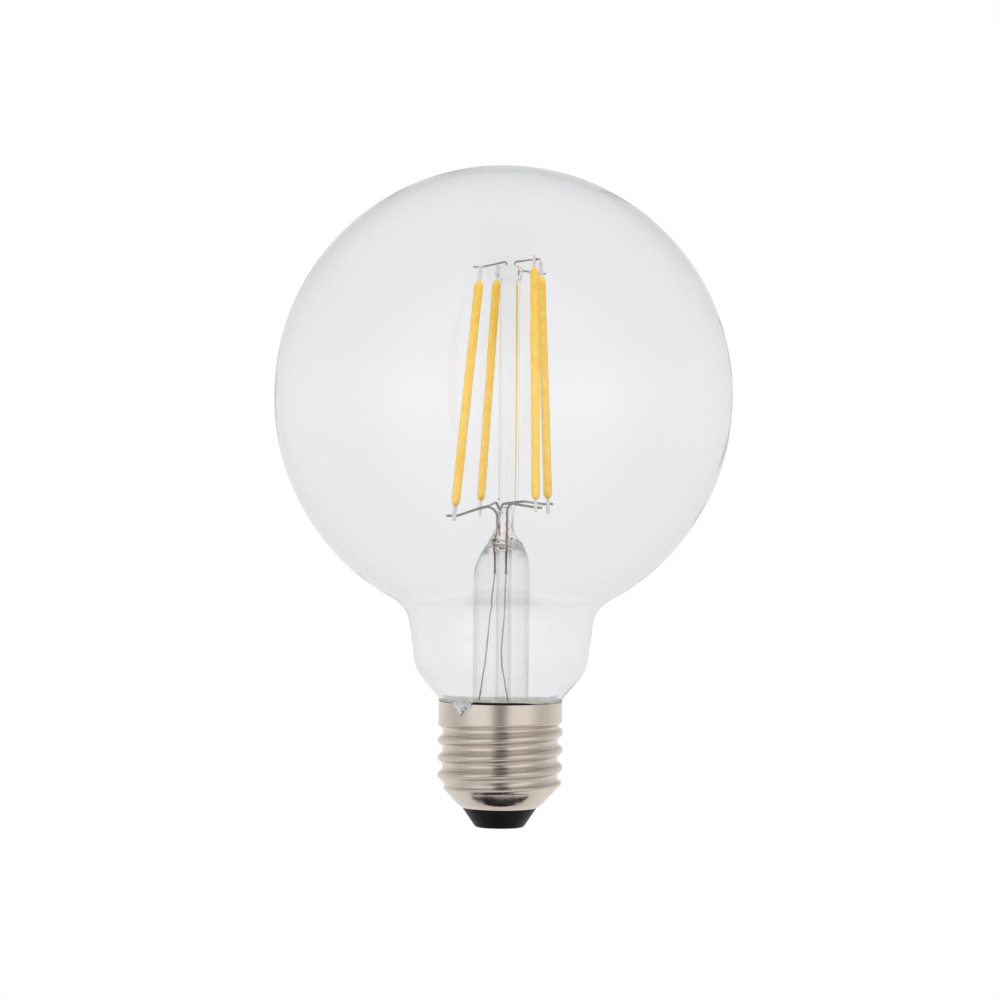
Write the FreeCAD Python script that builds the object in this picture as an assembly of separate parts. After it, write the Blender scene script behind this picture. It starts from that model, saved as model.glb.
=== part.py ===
import FreeCAD, Part
import math
import os

from FreeCAD import Matrix, Placement, Vector

# Frame: origin on the outer face of the centre contact, +Z along the axis to the crown of the globe.
# The front of the lamp, where the side solder is seen, faces -Y. All sizes are in mm.

# Globe
overall_length = 137.5
globe_diameter = 95.0
globe_belt = 0.7
globe_wall = 0.8
crown_wall = 1.05
neck_diameter = 35.4
neck_taper = 8.0
neck_fillet = 6.5
shoulder_angle = 40.0
shoulder_round = 8.0
collar_round = 1.2
collar_length = 9.3

# Screw cap
cap_height = 26.3
skirt_diameter = 25.7
shell_wall = 0.3
thread_major = 26.05
thread_pitch = 3.629
thread_crest_arc = 0.88
thread_root_arc = 1.17
thread_crest_height = 16.3
skirt_height = 3.9
thread_bottom = 7.6
thread_runout = 1.5
bowl_angle = 47.0
bowl_round = 2.5
lip_height = 4.13
lip_diameter = 15.5
notch_width = 0.9
notch_depth = 2.1

# Insulator, contact and joints
insulator_foot_diameter = 10.0
insulator_edge = 0.7
insulator_stand = 0.1
insulator_top = 6.65
contact_diameter = 8.6
contact_thickness = 0.6
shank_diameter = 2.0
shank_bore = 1.2
shank_rise = 0.4
contact_solder_depth = 1.2
cement_depth = 3.7
cement_lip = 0.4
solder_angle = 233.3
solder_width = 5.4
solder_height = 3.4
solder_round = 0.8
solder_bulge = 0.7
solder_edge = 0.45
solder_rise = 0.15

# Stem
flare_diameter = 11.9
flare_wall = 0.9
flare_round = 5.0
dome_pitch = 35.3
dome_round = 4.0
dome_wall = 2.6
press_thickness = 3.4
press_width = 8.6
press_turn = 20.0
press_height = 5.9
press_edge = 0.8
exhaust_diameter = 3.2
exhaust_wall = 0.6
exhaust_tip = 2.5
exhaust_tip_round = 1.4
exhaust_hole = 1.4
exhaust_hole_angle = 241.0
pillar_diameter = 4.2
pillar_offset = 1.2
pillar_root = 3.2
pillar_head_diameter = 5.0
pillar_head_height = 2.8

# Wires
lead_wire = 0.5
link_wire = 0.5
dumet_wire = 0.42
outer_wire = 0.35
supply_wire = 0.4
weld_bead = 0.7
lead_left = Vector(-0.77, -1.9, 0)
lead_right = Vector(1.2, -2.75, 0)
knot_left = Vector(-1.35, -1.7, 0)
knot_right = Vector(1.14, -2.55, 0)
dumet_top = 3.4
dumet_bottom = 13.2
arm_rise = 1.0
arm_run = 2.6
arm_overhang = 1.5
branch_weld = 0.1
branch_corner = Vector(4.4, -2.3, 0)
link_run = 1.2
link_rise = 0.35
link_dip = 1.8
link_dip_width = 1.6
link_depth = 0.85
wire_bend = 0.6
sway_bend = 6.0
# Share of the way down the flare, and the place there, of each corner of the two outer leads
sway_left = [(0.36, -1.9, -1.6), (0.66, -2.65, -1.5), (0.89, -3.75, -0.9), (1.0, -4.25, -0.2)]
sway_right = [(0.28, 0.9, -2.6), (0.55, 0.45, -2.7), (0.7, 0.6, -2.65), (1.0, 2.4, -2.4)]

# Filaments
filament_length = 46.0
filament_width = 1.7
filament_thickness = 1.5
filament_edge = 0.5
tab_length = 3.6
tab_root = 1.0
tab_width = 0.9
tab_thickness = 0.25
foot_radius = 12.0
head_radius = 7.5
light_centre_rise = 1.65
press_drop = 2.0
# Turn of foot and head round the pillar, lift of the stick, and where the wires cross its two tabs
filaments = {
    "front_left": (204.7, 210.0, -1.05, 2.5, 3.3),
    "rear_left": (118.4, 112.7, 0.0, 1.8, 1.8),
    "front_right": (297.8, 310.8, 1.0, 2.6, 2.8),
    "rear_right": (46.2, 31.4, 0.2, 1.6, 1.0),
}

# Driver
board_width = 16.0
board_top = 16.0
board_thickness = 1.0
board_notch_width = 3.4
board_notch_height = 2.3
chip_size = (4.8, 1.5, 3.9)
chip_stand = 0.1
chip_leg = (0.45, 0.2, 0.9)
chip_leg_pitch = 1.27
bridge_place = (-4.4, 11.7)
driver_chip_place = (5.2, 12.3)
capacitor_diameter = 6.3
capacitor_length = 8.0
capacitor_edge = 0.5
capacitor_height = 11.2
component_wire = 0.5
fuse_diameter = 2.4
fuse_length = 6.0
fuse_start = 1.4
fuse_edge = 0.6
pad_height = 14.8
left_pad_place = -3.6
right_pad_place = 2.4

# Clearances
fit = 0.02
rim_gap = 0.2
insulator_gap = 0.1
collar_gap = 0.75

# Levels and radii that follow from the sizes above
globe_radius = globe_diameter / 2
upper_centre = overall_length - globe_radius
lower_centre = upper_centre - globe_belt
skirt_radius = skirt_diameter / 2
skirt_bore = skirt_radius - shell_wall
thread_top = cap_height - skirt_height
cement_bottom = cap_height - cement_depth
thread_arcs = thread_crest_arc + thread_root_arc
thread_flank = math.asin(thread_pitch / 2 / thread_arcs)
thread_depth = thread_arcs * (1 - math.cos(thread_flank))
thread_bore = thread_major / 2 - thread_depth - shell_wall
collar_radius = thread_bore - collar_gap
seal_height = cap_height - collar_length
neck_bore = collar_radius - globe_wall
flare_radius = flare_diameter / 2
flare_bore = flare_radius - flare_wall
light_centre = (upper_centre + lower_centre) / 2 + light_centre_rise
press_top = light_centre - filament_length / 2 - press_drop
press_base = press_top - press_height
dome_slope = math.tan(math.radians(dome_pitch))
dome_corner = press_base - (flare_radius - press_thickness / 2) * dome_slope
dome_peak = dome_corner + flare_radius * dome_slope
bore_peak = dome_peak - dome_wall
wire_gap = (lead_wire + tab_thickness) / 2
pillar_axis = Vector(pillar_offset, 0, 0)
up = Vector(0, 0, 1)


def polar(radius, degrees, height=0.0):
    """Point at a radius and turn about the lamp axis."""
    turn = math.radians(degrees)
    return Vector(radius * math.cos(turn), radius * math.sin(turn), height)


def arc(centre, start, end):
    """Arc edge of less than half a turn about a centre."""
    half = (start - centre).normalize() + (end - centre).normalize()
    middle = centre + half.normalize() * (start - centre).Length
    return Part.Arc(start, middle, end).toShape()


def rounded(corners, closed=False):
    """Straight runs joined by tangent arcs through corners given as (point, radius)."""
    count = len(corners)
    places = []
    for index, (point, radius) in enumerate(corners):
        inside = closed or 0 < index < count - 1
        if radius == 0 or not inside:
            places.append((point, None, point))
            continue
        before = (corners[index - 1][0] - point).normalize()
        after = (corners[(index + 1) % count][0] - point).normalize()
        half = before.getAngle(after) / 2
        reach = radius / math.tan(half)
        crown = point + (before + after).normalize() * (radius / math.sin(half) - radius)
        places.append((point + before * reach, crown, point + after * reach))
    edges = []
    for index, (start, crown, end) in enumerate(places):
        if crown is not None:
            edges.append(Part.Arc(start, crown, end).toShape())
        if closed or index < count - 1:
            following = places[(index + 1) % count][0]
            if end.distanceToPoint(following) > 1e-6:
                edges.append(Part.LineSegment(end, following).toShape())
    return edges


def turned(corners):
    """Solid of revolution about Z from a closed outline of (radius, height, rounding) corners."""
    outline = rounded([(Vector(r, 0, z), edge) for r, z, edge in corners], closed=True)
    return Part.Face(Part.Wire(outline)).revolve(Vector(), up, 360)


def wire_along(points, diameter, bend=wire_bend):
    """Round wire along straight runs with tangent bends."""
    spine = Part.Wire(rounded([(point, bend) for point in points]))
    section = Part.Circle(points[0], points[1] - points[0], diameter / 2).toShape()
    return spine.makePipe(Part.Face(Part.Wire(section)))


def box(low, high):
    """Box between two opposite corners."""
    return Part.makeBox(high.x - low.x, high.y - low.y, high.z - low.z, low)


def crossing(point, direction, other_point, other_direction):
    """Meeting point of two lines in the XZ plane."""
    gap = other_point - point
    turn = direction.x * other_direction.z - direction.z * other_direction.x
    return point + direction * ((gap.x * other_direction.z - gap.z * other_direction.x) / turn)


def fillet_centre(point, line, out, ball, radius, fillet):
    """Centre of the arc that touches a rising line and, above it, a ball, both from outside."""
    offset = point + out * fillet - ball
    along = offset.dot(line)
    square = along * along - offset.dot(offset) + (radius + fillet) ** 2
    return ball + offset - line * (math.sqrt(square) + along)


# Globe wall: two half spheres, a fillet, the tapered neck, the shoulder cone and the collar
def globe_form(inset, crown_extra):
    """Bulb filled solid from the crown to the end of the collar, its outline set in by the wall."""
    taper = math.radians(neck_taper)
    slope = math.radians(shoulder_angle)
    taper_line = Vector(math.sin(taper), 0, math.cos(taper))
    taper_out = Vector(math.cos(taper), 0, -math.sin(taper))
    cone_line = Vector(math.sin(slope), 0, math.cos(slope))
    cone_out = Vector(math.cos(slope), 0, -math.sin(slope))
    collar_line = up
    rim = Vector(skirt_bore - rim_gap, 0, cap_height)
    corner = rim + cone_line * ((neck_diameter / 2 - rim.x) / cone_line.x)

    cone_point = rim - cone_out * inset
    taper_point = corner - taper_out * inset
    collar_point = Vector(collar_radius - inset, 0, seal_height)
    shoulder = crossing(taper_point, taper_line, cone_point, cone_line)
    collar_corner = crossing(cone_point, cone_line, collar_point, collar_line)

    # The fillet under the ball stands on the tapered neck, or on the shoulder cone of a ball set low
    radius = globe_radius - inset
    fillet = neck_fillet + inset
    ball = Vector(0, 0, lower_centre)
    centre = fillet_centre(taper_point, taper_line, taper_out, ball, radius, fillet)
    on_neck = centre - taper_out * fillet
    room = (on_neck - shoulder).dot(taper_line)
    neck = [(on_neck, 0)]
    if room > 0:
        bend = math.tan((slope - taper) / 2)
        neck += [(shoulder, min(shoulder_round - inset, room / bend))]
    else:
        centre = fillet_centre(cone_point, cone_line, cone_out, ball, radius, fillet)
        on_neck = centre - cone_out * fillet
        neck = [(on_neck, 0)]
    on_ball = ball + (centre - ball).normalize() * radius

    crown = Vector(0, 0, upper_centre - crown_extra + radius)
    equator = Vector(radius, 0, upper_centre - crown_extra)
    lower_equator = Vector(radius, 0, lower_centre)
    edges = [arc(Vector(0, 0, equator.z), crown, equator)]
    edges.append(Part.LineSegment(equator, lower_equator).toShape())
    edges.append(arc(ball, lower_equator, on_ball))
    edges.append(arc(centre, on_ball, on_neck))
    neck += [(collar_corner, collar_round + inset), (collar_point, 0)]
    neck += [(Vector(0, 0, seal_height), 0), (crown, 0)]
    outline = Part.Wire(edges + rounded(neck))
    return Part.Face(outline).revolve(Vector(), up, 360)


# Screw shell: one sheet whose skirt, rolled thread and bowl are a single skin inside and out
def ramp(value, start, end):
    """Smooth step from 0 at start to 1 at end."""
    share = min(max((value - start) / (end - start), 0.0), 1.0)
    return share * share * (3 - 2 * share)


def thread_radius(degrees, height, inset):
    """Radius of the knuckle thread: tangent arcs for crest and root, set in by the sheet."""
    rise = height - thread_crest_height - thread_pitch * degrees / 360
    offset = abs((rise / thread_pitch + 0.5) % 1.0 - 0.5) * thread_pitch
    if offset < (thread_crest_arc - inset) * math.sin(thread_flank):
        return thread_major / 2 - thread_crest_arc + math.sqrt((thread_crest_arc - inset) ** 2 - offset**2)
    reach = thread_pitch / 2 - offset
    root_centre = thread_major / 2 - thread_depth + thread_root_arc
    return root_centre - math.sqrt((thread_root_arc + inset) ** 2 - reach**2)


def bowl_outline(inset):
    """Skirt and bowl of the sheet, as a line from rim to lip."""
    slope = math.radians(bowl_angle)
    lip = Vector(lip_diameter / 2 - inset / math.cos(slope), 0, lip_height)
    side = skirt_radius - inset
    corner = Vector(side, 0, lip.z + (side - lip.x) / math.tan(slope))
    line = [(Vector(side, 0, cap_height), 0), (corner, bowl_round - inset), (lip, 0)]
    return Part.Wire(rounded(line))


def shell_skin(inset):
    """Closed spline skin of the sheet, threaded between its two run-outs."""
    columns = 40
    line = bowl_outline(inset)
    rows = int(line.Length / thread_pitch * 12)
    spread = 3 / (2 + math.cos(2 * math.pi / columns))
    places = line.discretize(Number=rows)
    poles = []
    for column in range(columns):
        degrees = 360 * column / columns
        poles.append([])
        for place in places:
            fade = ramp(place.z, thread_bottom, thread_bottom + thread_runout)
            fade *= ramp(place.z, thread_top, thread_top - thread_runout)
            wave = thread_radius(degrees, place.z, inset) - (skirt_radius - inset)
            poles[-1].append(polar((place.x + fade * wave) * spread, degrees, place.z))
    skin = Part.BSplineSurface()
    around = list(range(columns + 1))
    along = list(range(rows - 2))
    ends = [4] + [1] * (rows - 4) + [4]
    skin.buildFromPolesMultsKnots(poles, [1] * len(around), ends, around, along, True, False, 3, 3)
    return skin.toShape()


def make_shell():
    outside = shell_skin(0)
    inside = shell_skin(shell_wall)
    faces = [outside, inside]
    for level in (cap_height, lip_height):
        rings = []
        for skin in (outside, inside):
            closed = [edge for edge in skin.Edges if abs(edge.BoundBox.ZMax - edge.BoundBox.ZMin) < 1e-4]
            rings.append(Part.Wire([edge for edge in closed if abs(edge.BoundBox.ZMax - level) < 1e-3]))
        faces.append(Part.makeFace(rings, "Part::FaceMakerBullseye"))
    sheet = Part.makeShell(faces)
    sheet.sewShape()
    body = Part.makeSolid(sheet)
    return body.cut(notch())


def notch(slack=0.0):
    """Block that cuts the wire notch into the rim of the skirt."""
    half = notch_width / 2 - slack
    low = Vector(skirt_bore - 0.5, -half, cap_height - notch_depth + slack)
    block = box(low, Vector(skirt_radius + 0.5, half, cap_height + 0.5))
    return block.rotate(Vector(), up, solder_angle)


# Insulator, contact and joints of the cap
def make_insulator():
    slope = math.tan(math.radians(bowl_angle))
    neck = lip_diameter / 2 - shell_wall / math.cos(math.radians(bowl_angle)) - insulator_gap
    return turned([
        (shank_diameter / 2, contact_thickness, 0),
        (contact_diameter / 2, contact_thickness, 0),
        (contact_diameter / 2, insulator_stand, 0),
        (insulator_foot_diameter / 2, insulator_stand, insulator_edge),
        (lip_diameter / 2, lip_height, 0),
        (neck, lip_height, 0),
        (neck + (insulator_top - lip_height) * slope, insulator_top, 0),
        (shank_diameter / 2, insulator_top, 0),
    ])


def make_contact():
    return turned([
        (shank_bore / 2, 0, 0),
        (contact_diameter / 2, 0, 0),
        (contact_diameter / 2, contact_thickness, 0),
        (shank_diameter / 2, contact_thickness, 0),
        (shank_diameter / 2, insulator_top + shank_rise, 0),
        (shank_bore / 2, insulator_top + shank_rise, 0),
    ])


def make_cement(globe_outside, supply):
    outside = skirt_bore - fit
    ring = turned([
        (collar_radius, cement_bottom, 0),
        (outside, cement_bottom, 0),
        (outside, cap_height, 0),
        (outside + cement_lip, cap_height + cement_lip, 0),
        (collar_radius, cap_height + cement_lip, 0),
    ])
    return ring.cut(globe_outside).cut(supply)


def make_side_solder(supply):
    top = cap_height + solder_rise
    corners = [Vector(skirt_bore, -solder_width / 2, top), Vector(skirt_bore, solder_width / 2, top)]
    corners.append(Vector(skirt_bore, 0, top - solder_height))
    outline = Part.Wire(rounded([(corner, solder_round) for corner in corners], closed=True))
    blob = Part.Face(outline).extrude(Vector(skirt_radius - skirt_bore + solder_bulge, 0, 0))
    crown = [edge for edge in blob.Edges if edge.BoundBox.XMin > skirt_radius]
    blob = blob.makeFillet(solder_edge, crown).rotate(Vector(), up, solder_angle)
    blob = blob.cut(Part.makeCylinder(skirt_radius, cap_height * 2))
    wall = Part.makeCylinder(skirt_radius, cap_height).cut(Part.makeCylinder(skirt_bore, cap_height))
    plug = notch(fit).common(wall)
    return blob.fuse(plug).removeSplitter().cut(supply)


def make_neutral_lead():
    run = (collar_radius + thread_bore) / 2
    exit_height = cap_height - notch_depth + supply_wire
    pad = Vector(-board_width / 2 + 1, -(board_thickness + supply_wire) / 2, pad_height)
    points = [
        pad,
        pad + up * (seal_height - pad_height - 1.1),
        polar(run, solder_angle, seal_height - 0.8),
        polar(run, solder_angle, exit_height),
        polar(skirt_radius + solder_bulge / 2, solder_angle, exit_height),
    ]
    return wire_along(points, supply_wire, 0.5)


# Glass stem
def make_flare():
    rim_edge = flare_wall * math.sqrt(2)
    outside = turned([
        (0, seal_height, 0),
        (neck_bore, seal_height, 0),
        (neck_bore, seal_height + rim_edge, 0),
        (flare_radius, seal_height + rim_edge + neck_bore - flare_radius, flare_round),
        (flare_radius, dome_corner, dome_round),
        (0, dome_peak, 0),
    ])
    inside = turned([
        (0, seal_height, 0),
        (neck_bore, seal_height, 0),
        (flare_bore, seal_height + neck_bore - flare_bore, flare_round - flare_wall),
        (flare_bore, bore_peak - flare_bore * dome_slope, dome_round - flare_wall),
        (0, bore_peak, 0),
    ])
    return outside.fuse(make_blade(dome_corner)).cut(inside)


def make_exhaust_hole():
    """Slanted way from the bore of the exhaust tube out through the dome of the flare."""
    start = Vector(0, 0, bore_peak - exhaust_hole * 0.6)
    way = polar(flare_radius, exhaust_hole_angle, dome_peak) - start
    return Part.makeCylinder(exhaust_hole / 2, way.Length, start, way)


def make_blade(bottom):
    """Flat pressed top of the flare, long way nearly along the line of sight."""
    half = press_thickness / 2
    reach = press_width / 2 - half
    sides = [Vector(half, -reach, bottom), Vector(half, reach, bottom)]
    sides += [Vector(-half, reach, bottom), Vector(-half, -reach, bottom)]
    ends = [Vector(0, -press_width / 2, bottom), Vector(0, press_width / 2, bottom)]
    outline = Part.Wire([
        Part.LineSegment(sides[0], sides[1]).toShape(),
        Part.Arc(sides[1], ends[1], sides[2]).toShape(),
        Part.LineSegment(sides[2], sides[3]).toShape(),
        Part.Arc(sides[3], ends[0], sides[0]).toShape(),
    ])
    blade = Part.Face(outline).extrude(up * (press_top - bottom))
    top = [edge for edge in blade.Edges if edge.BoundBox.ZMin > press_top - 1e-4]
    return blade.makeFillet(press_edge, top).rotate(Vector(), up, press_turn)


def make_exhaust(flare):
    tip = seal_height + exhaust_tip
    outer = exhaust_diameter / 2
    bore = outer - exhaust_wall
    tube = turned([
        (0, tip, 0),
        (outer, tip, exhaust_tip_round),
        (outer, bore_peak, 0),
        (bore, bore_peak, 0),
        (bore, tip + 2 * exhaust_wall, bore * 0.9),
        (0, tip + 2 * exhaust_wall, 0),
    ])
    return tube.cut(flare)


def make_pillar(top):
    rod = pillar_diameter / 2
    head = pillar_head_diameter / 2
    pillar = turned([
        (0, press_top - pillar_root, 0),
        (rod, press_top - pillar_root, 0.6),
        (rod, top - pillar_head_height, 0),
        (head, top - pillar_head_height + head - rod, 0.3),
        (head, top, 1.2),
        (0, top, 0),
    ])
    return pillar.translate(pillar_axis)


# Filament sticks: each has its own frame, foot at the lower end of the coating
class Stick:
    def __init__(self, foot_turn, head_turn, lift, foot_grip, head_grip):
        foot = pillar_axis + polar(foot_radius, foot_turn)
        head = pillar_axis + polar(head_radius, head_turn)
        rise = math.sqrt(filament_length**2 - (head - foot).Length ** 2)
        middle = light_centre + lift
        self.foot = foot + up * (middle - rise / 2)
        self.head = head + up * (middle + rise / 2)
        self.axis = (self.head - self.foot).normalize()
        self.outward = polar(1, (foot_turn + head_turn) / 2)
        side = self.axis.cross(self.outward).normalize()
        self.side = side if side.y > 0 else side * -1
        self.foot_weld = self.foot - self.axis * foot_grip + self.side * wire_gap
        self.head_weld = self.head + self.axis * head_grip + self.side * wire_gap

    def bar(self, width, thickness, start, end, edge=0.0):
        """Rectangular bar along the stick, from start to end above the foot."""
        across = self.side.cross(self.axis)
        solid = Part.makeBox(width, thickness, end - start, Vector(-width / 2, -thickness / 2, start))
        if edge:
            solid = solid.makeFillet(edge, solid.Edges)
        solid.Placement = Placement(Matrix(
            across.x, self.side.x, self.axis.x, self.foot.x,
            across.y, self.side.y, self.axis.y, self.foot.y,
            across.z, self.side.z, self.axis.z, self.foot.z,
            0, 0, 0, 1))
        return solid


def make_stick(stick):
    """Coated stick with its foot tab and head tab."""
    foot_tab = stick.bar(tab_width, tab_thickness, -tab_length, tab_root)
    end = filament_length + tab_length
    head_tab = stick.bar(tab_width, tab_thickness, filament_length - tab_root, end)
    coat = stick.bar(filament_width, filament_thickness, 0, filament_length, filament_edge)
    return coat.cut(foot_tab).cut(head_tab), foot_tab, head_tab


# Wires inside the globe
def make_lead(lead, stick):
    """Inner lead from the press to a foot tab."""
    weld = stick.foot_weld
    points = [
        lead + up * (press_top - dumet_top),
        lead + up * (press_top + arm_rise),
        weld - stick.outward * arm_run,
        weld + stick.outward * arm_overhang,
    ]
    return wire_along(points, lead_wire)


def make_branch(lead, lead_stick, stick, corners):
    """Wire welded beside an inner lead that feeds the second stick of that side."""
    arm = lead_stick.foot_weld - lead
    beside = Vector(-arm.y, arm.x, 0).normalize() * lead_wire
    if beside.dot(stick.foot - lead) < 0:
        beside = beside * -1
    weld = stick.foot_weld
    points = [
        lead + beside + up * (press_top + branch_weld),
        lead + beside + up * (press_top + arm_rise + lead_wire),
        *[corner + up * (press_top + arm_rise + lead_wire) for corner in corners],
        weld - stick.outward * arm_run,
        weld + stick.outward * arm_overhang,
    ]
    return wire_along(points, lead_wire, 0.5)


def make_link(left, right, middle):
    """Wire across the head of the pillar between two head tabs."""
    points = [
        left.head_weld + left.outward * arm_overhang,
        left.head_weld - left.outward * link_run,
        *middle,
        right.head_weld - right.outward * link_run,
        right.head_weld + right.outward * arm_overhang,
    ]
    return wire_along(points, link_wire, 0.4)


def make_dumet(lead, knot):
    points = [knot + up * (press_top - dumet_bottom), lead + up * (press_top - dumet_top)]
    return wire_along(points, dumet_wire)


def make_outer_lead(knot, sway, pad_x, dumet):
    """Thin lead from the seal wire down the flare to the driver board."""
    start = knot + up * (press_top - dumet_bottom)
    mouth = seal_height + neck_bore - flare_bore + flare_round / 2
    points = [start]
    for share, x, y in sway:
        points.append(Vector(x, y, start.z + (mouth - start.z) * share))
    pad = Vector(pad_x, -(board_thickness + outer_wire) / 2, pad_height)
    points += [pad + up * 1.4, pad]
    edges = [(point, sway_bend) for point in points]
    edges[-2] = (points[-2], wire_bend)
    edges[-3] = (points[-3], wire_bend * 2)
    spine = Part.Wire(rounded(edges))
    section = Part.Circle(points[0], points[1] - points[0], outer_wire / 2).toShape()
    lead = spine.makePipe(Part.Face(Part.Wire(section)))
    return lead.fuse(Part.makeSphere(weld_bead / 2, start)).cut(dumet)


# Driver in the cap
def make_board():
    half = board_thickness / 2
    board = box(Vector(-board_width / 2, -half, insulator_top), Vector(board_width / 2, half, board_top))
    notch_half = board_notch_width / 2
    low = Vector(-notch_half, -half, insulator_top)
    return board.cut(box(low, Vector(notch_half, half, insulator_top + board_notch_height)))


def make_chip(place, legs):
    """Flat package on the front of the board, with its legs in two rows."""
    x, z = place
    width, depth, height = chip_size
    face = -board_thickness / 2
    low = Vector(x - width / 2, face - chip_stand - depth, z - height / 2)
    chip = box(low, Vector(x + width / 2, face - chip_stand, z + height / 2))
    leg_width, leg_thickness, leg_reach = chip_leg
    for index in range(legs):
        centre = x + (index - (legs - 1) / 2) * chip_leg_pitch * 4 / legs
        for side in (-1, 1):
            edge = z + side * height / 2
            tip = edge + side * leg_reach
            low = Vector(centre - leg_width / 2, face - leg_thickness, min(edge, tip))
            high = Vector(centre + leg_width / 2, face, max(edge, tip))
            chip = chip.fuse(box(low, high))
            riser = Vector(centre - leg_width / 2, face - depth / 2, min(edge, edge + side * leg_thickness))
            top = Vector(centre + leg_width / 2, face, max(edge, edge + side * leg_thickness))
            chip = chip.fuse(box(riser, top))
    return chip.removeSplitter()


def make_capacitor():
    radius = capacitor_diameter / 2
    half = capacitor_length / 2
    start = Vector(-half, board_thickness / 2 + radius, capacitor_height)
    can = Part.makeCylinder(radius, capacitor_length, start, Vector(1, 0, 0))
    can = can.makeFillet(capacitor_edge, [edge for edge in can.Edges if edge.Closed])
    for side in (-1, 1):
        root = start + Vector(capacitor_length - 0.5, -radius / 2, side * radius / 2)
        bend = root + Vector(1.3, 0, 0)
        pad = Vector(bend.x, board_thickness / 2, bend.z)
        can = can.fuse(wire_along([root, bend, pad], component_wire, 0.4))
    return can


def make_fuse():
    y = -(board_thickness + fuse_diameter) / 2
    z = insulator_top + board_notch_height - component_wire
    start = Vector(fuse_start, y, z)
    barrel = Part.makeCylinder(fuse_diameter / 2, fuse_length, start, Vector(1, 0, 0))
    barrel = barrel.makeFillet(fuse_edge, [edge for edge in barrel.Edges if edge.Closed])
    root = start + Vector(fuse_length - 0.5, 0, 0)
    bend = root + Vector(1.0, 0, 0)
    pad = Vector(bend.x, -board_thickness / 2, bend.z)
    return barrel.fuse(wire_along([root, bend, pad], component_wire, 0.4)), start


def make_live_lead(fuse_end):
    points = [
        Vector(0, 0, contact_solder_depth),
        Vector(0, 0, fuse_end.z),
        Vector(0, fuse_end.y, fuse_end.z),
        fuse_end,
    ]
    return wire_along(points, supply_wire, 0.5)


nodes = {}

# Cap
globe_outside = globe_form(0, 0)
neutral_lead = make_neutral_lead()
nodes["globe"] = globe_outside.cut(globe_form(globe_wall, crown_wall - globe_wall))
nodes["screw_shell"] = make_shell()
nodes["insulator"] = make_insulator()
nodes["centre_contact"] = make_contact()
nodes["contact_solder"] = Part.makeCylinder(shank_bore / 2, contact_solder_depth)
nodes["cement_ring"] = make_cement(globe_outside, neutral_lead)
nodes["side_solder"] = make_side_solder(neutral_lead)
nodes["neutral_lead"] = neutral_lead

# Filaments
sticks = {name: Stick(*sizes) for name, sizes in filaments.items()}
for name, stick in sticks.items():
    coat, foot_tab, head_tab = make_stick(stick)
    nodes["filament_" + name] = coat
    nodes["foot_tab_" + name] = foot_tab
    nodes["head_tab_" + name] = head_tab

# Wires
front_left, rear_left = sticks["front_left"], sticks["rear_left"]
front_right, rear_right = sticks["front_right"], sticks["rear_right"]
pillar_top = (front_left.head_weld.z + front_right.head_weld.z) / 2 - link_wire / 2
dip = pillar_axis - Vector(0, link_depth, 0)
dip_half = Vector(link_dip_width / 2, 0, 0)
dip_top = up * (pillar_top + link_rise)
dip_bottom = up * (pillar_top + link_rise - link_dip)
dip_points = [dip - dip_half * 1.3 + dip_top, dip - dip_half + dip_bottom]
dip_points += [dip + dip_half + dip_bottom, dip + dip_half * 1.3 + dip_top]
pass_level = up * ((rear_left.head_weld.z + rear_right.head_weld.z) / 2 + link_rise)
pass_place = pillar_axis + Vector(0, link_depth, 0) + pass_level
pass_points = [pass_place - dip_half, pass_place + dip_half]

inner_left = make_lead(lead_left, front_left)
inner_right = make_lead(lead_right, front_right)
link_front = make_link(front_left, front_right, dip_points)
link_rear = make_link(rear_left, rear_right, pass_points)
dumet_left = make_dumet(lead_left, knot_left)
dumet_right = make_dumet(lead_right, knot_right)
nodes["inner_lead_left"] = inner_left
nodes["inner_lead_right"] = inner_right
nodes["branch_wire_left"] = make_branch(lead_left, front_left, rear_left, [])
nodes["branch_wire_right"] = make_branch(lead_right, front_right, rear_right, [branch_corner])
nodes["top_link_front"] = link_front
nodes["top_link_rear"] = link_rear
nodes["dumet_left"] = dumet_left
nodes["dumet_right"] = dumet_right
nodes["outer_lead_left"] = make_outer_lead(knot_left, sway_left, left_pad_place, dumet_left)
nodes["outer_lead_right"] = make_outer_lead(knot_right, sway_right, right_pad_place, dumet_right)

# Stem
pillar = make_pillar(pillar_top)
flare = make_flare()
exhaust_way = make_exhaust_hole()
nodes["exhaust_tube"] = make_exhaust(flare).cut(exhaust_way)
for piece in (exhaust_way, pillar, inner_left, inner_right, dumet_left, dumet_right):
    flare = flare.cut(piece)
nodes["stem_flare"] = flare
nodes["pillar"] = pillar.cut(link_front).cut(link_rear)

# Driver
fuse_resistor, fuse_end = make_fuse()
nodes["driver_board"] = make_board()
nodes["bridge_rectifier"] = make_chip(bridge_place, 2)
nodes["driver_chip"] = make_chip(driver_chip_place, 4)
nodes["capacitor"] = make_capacitor()
nodes["fuse_resistor"] = fuse_resistor
nodes["live_lead"] = make_live_lead(fuse_end)

os.makedirs("parts", exist_ok=True)
for name, shape in nodes.items():
    shape.exportStep("parts/" + name + ".step")
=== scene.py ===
import bmesh
import bpy
import math
from mathutils import Matrix, Vector, geometry, noise


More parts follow.
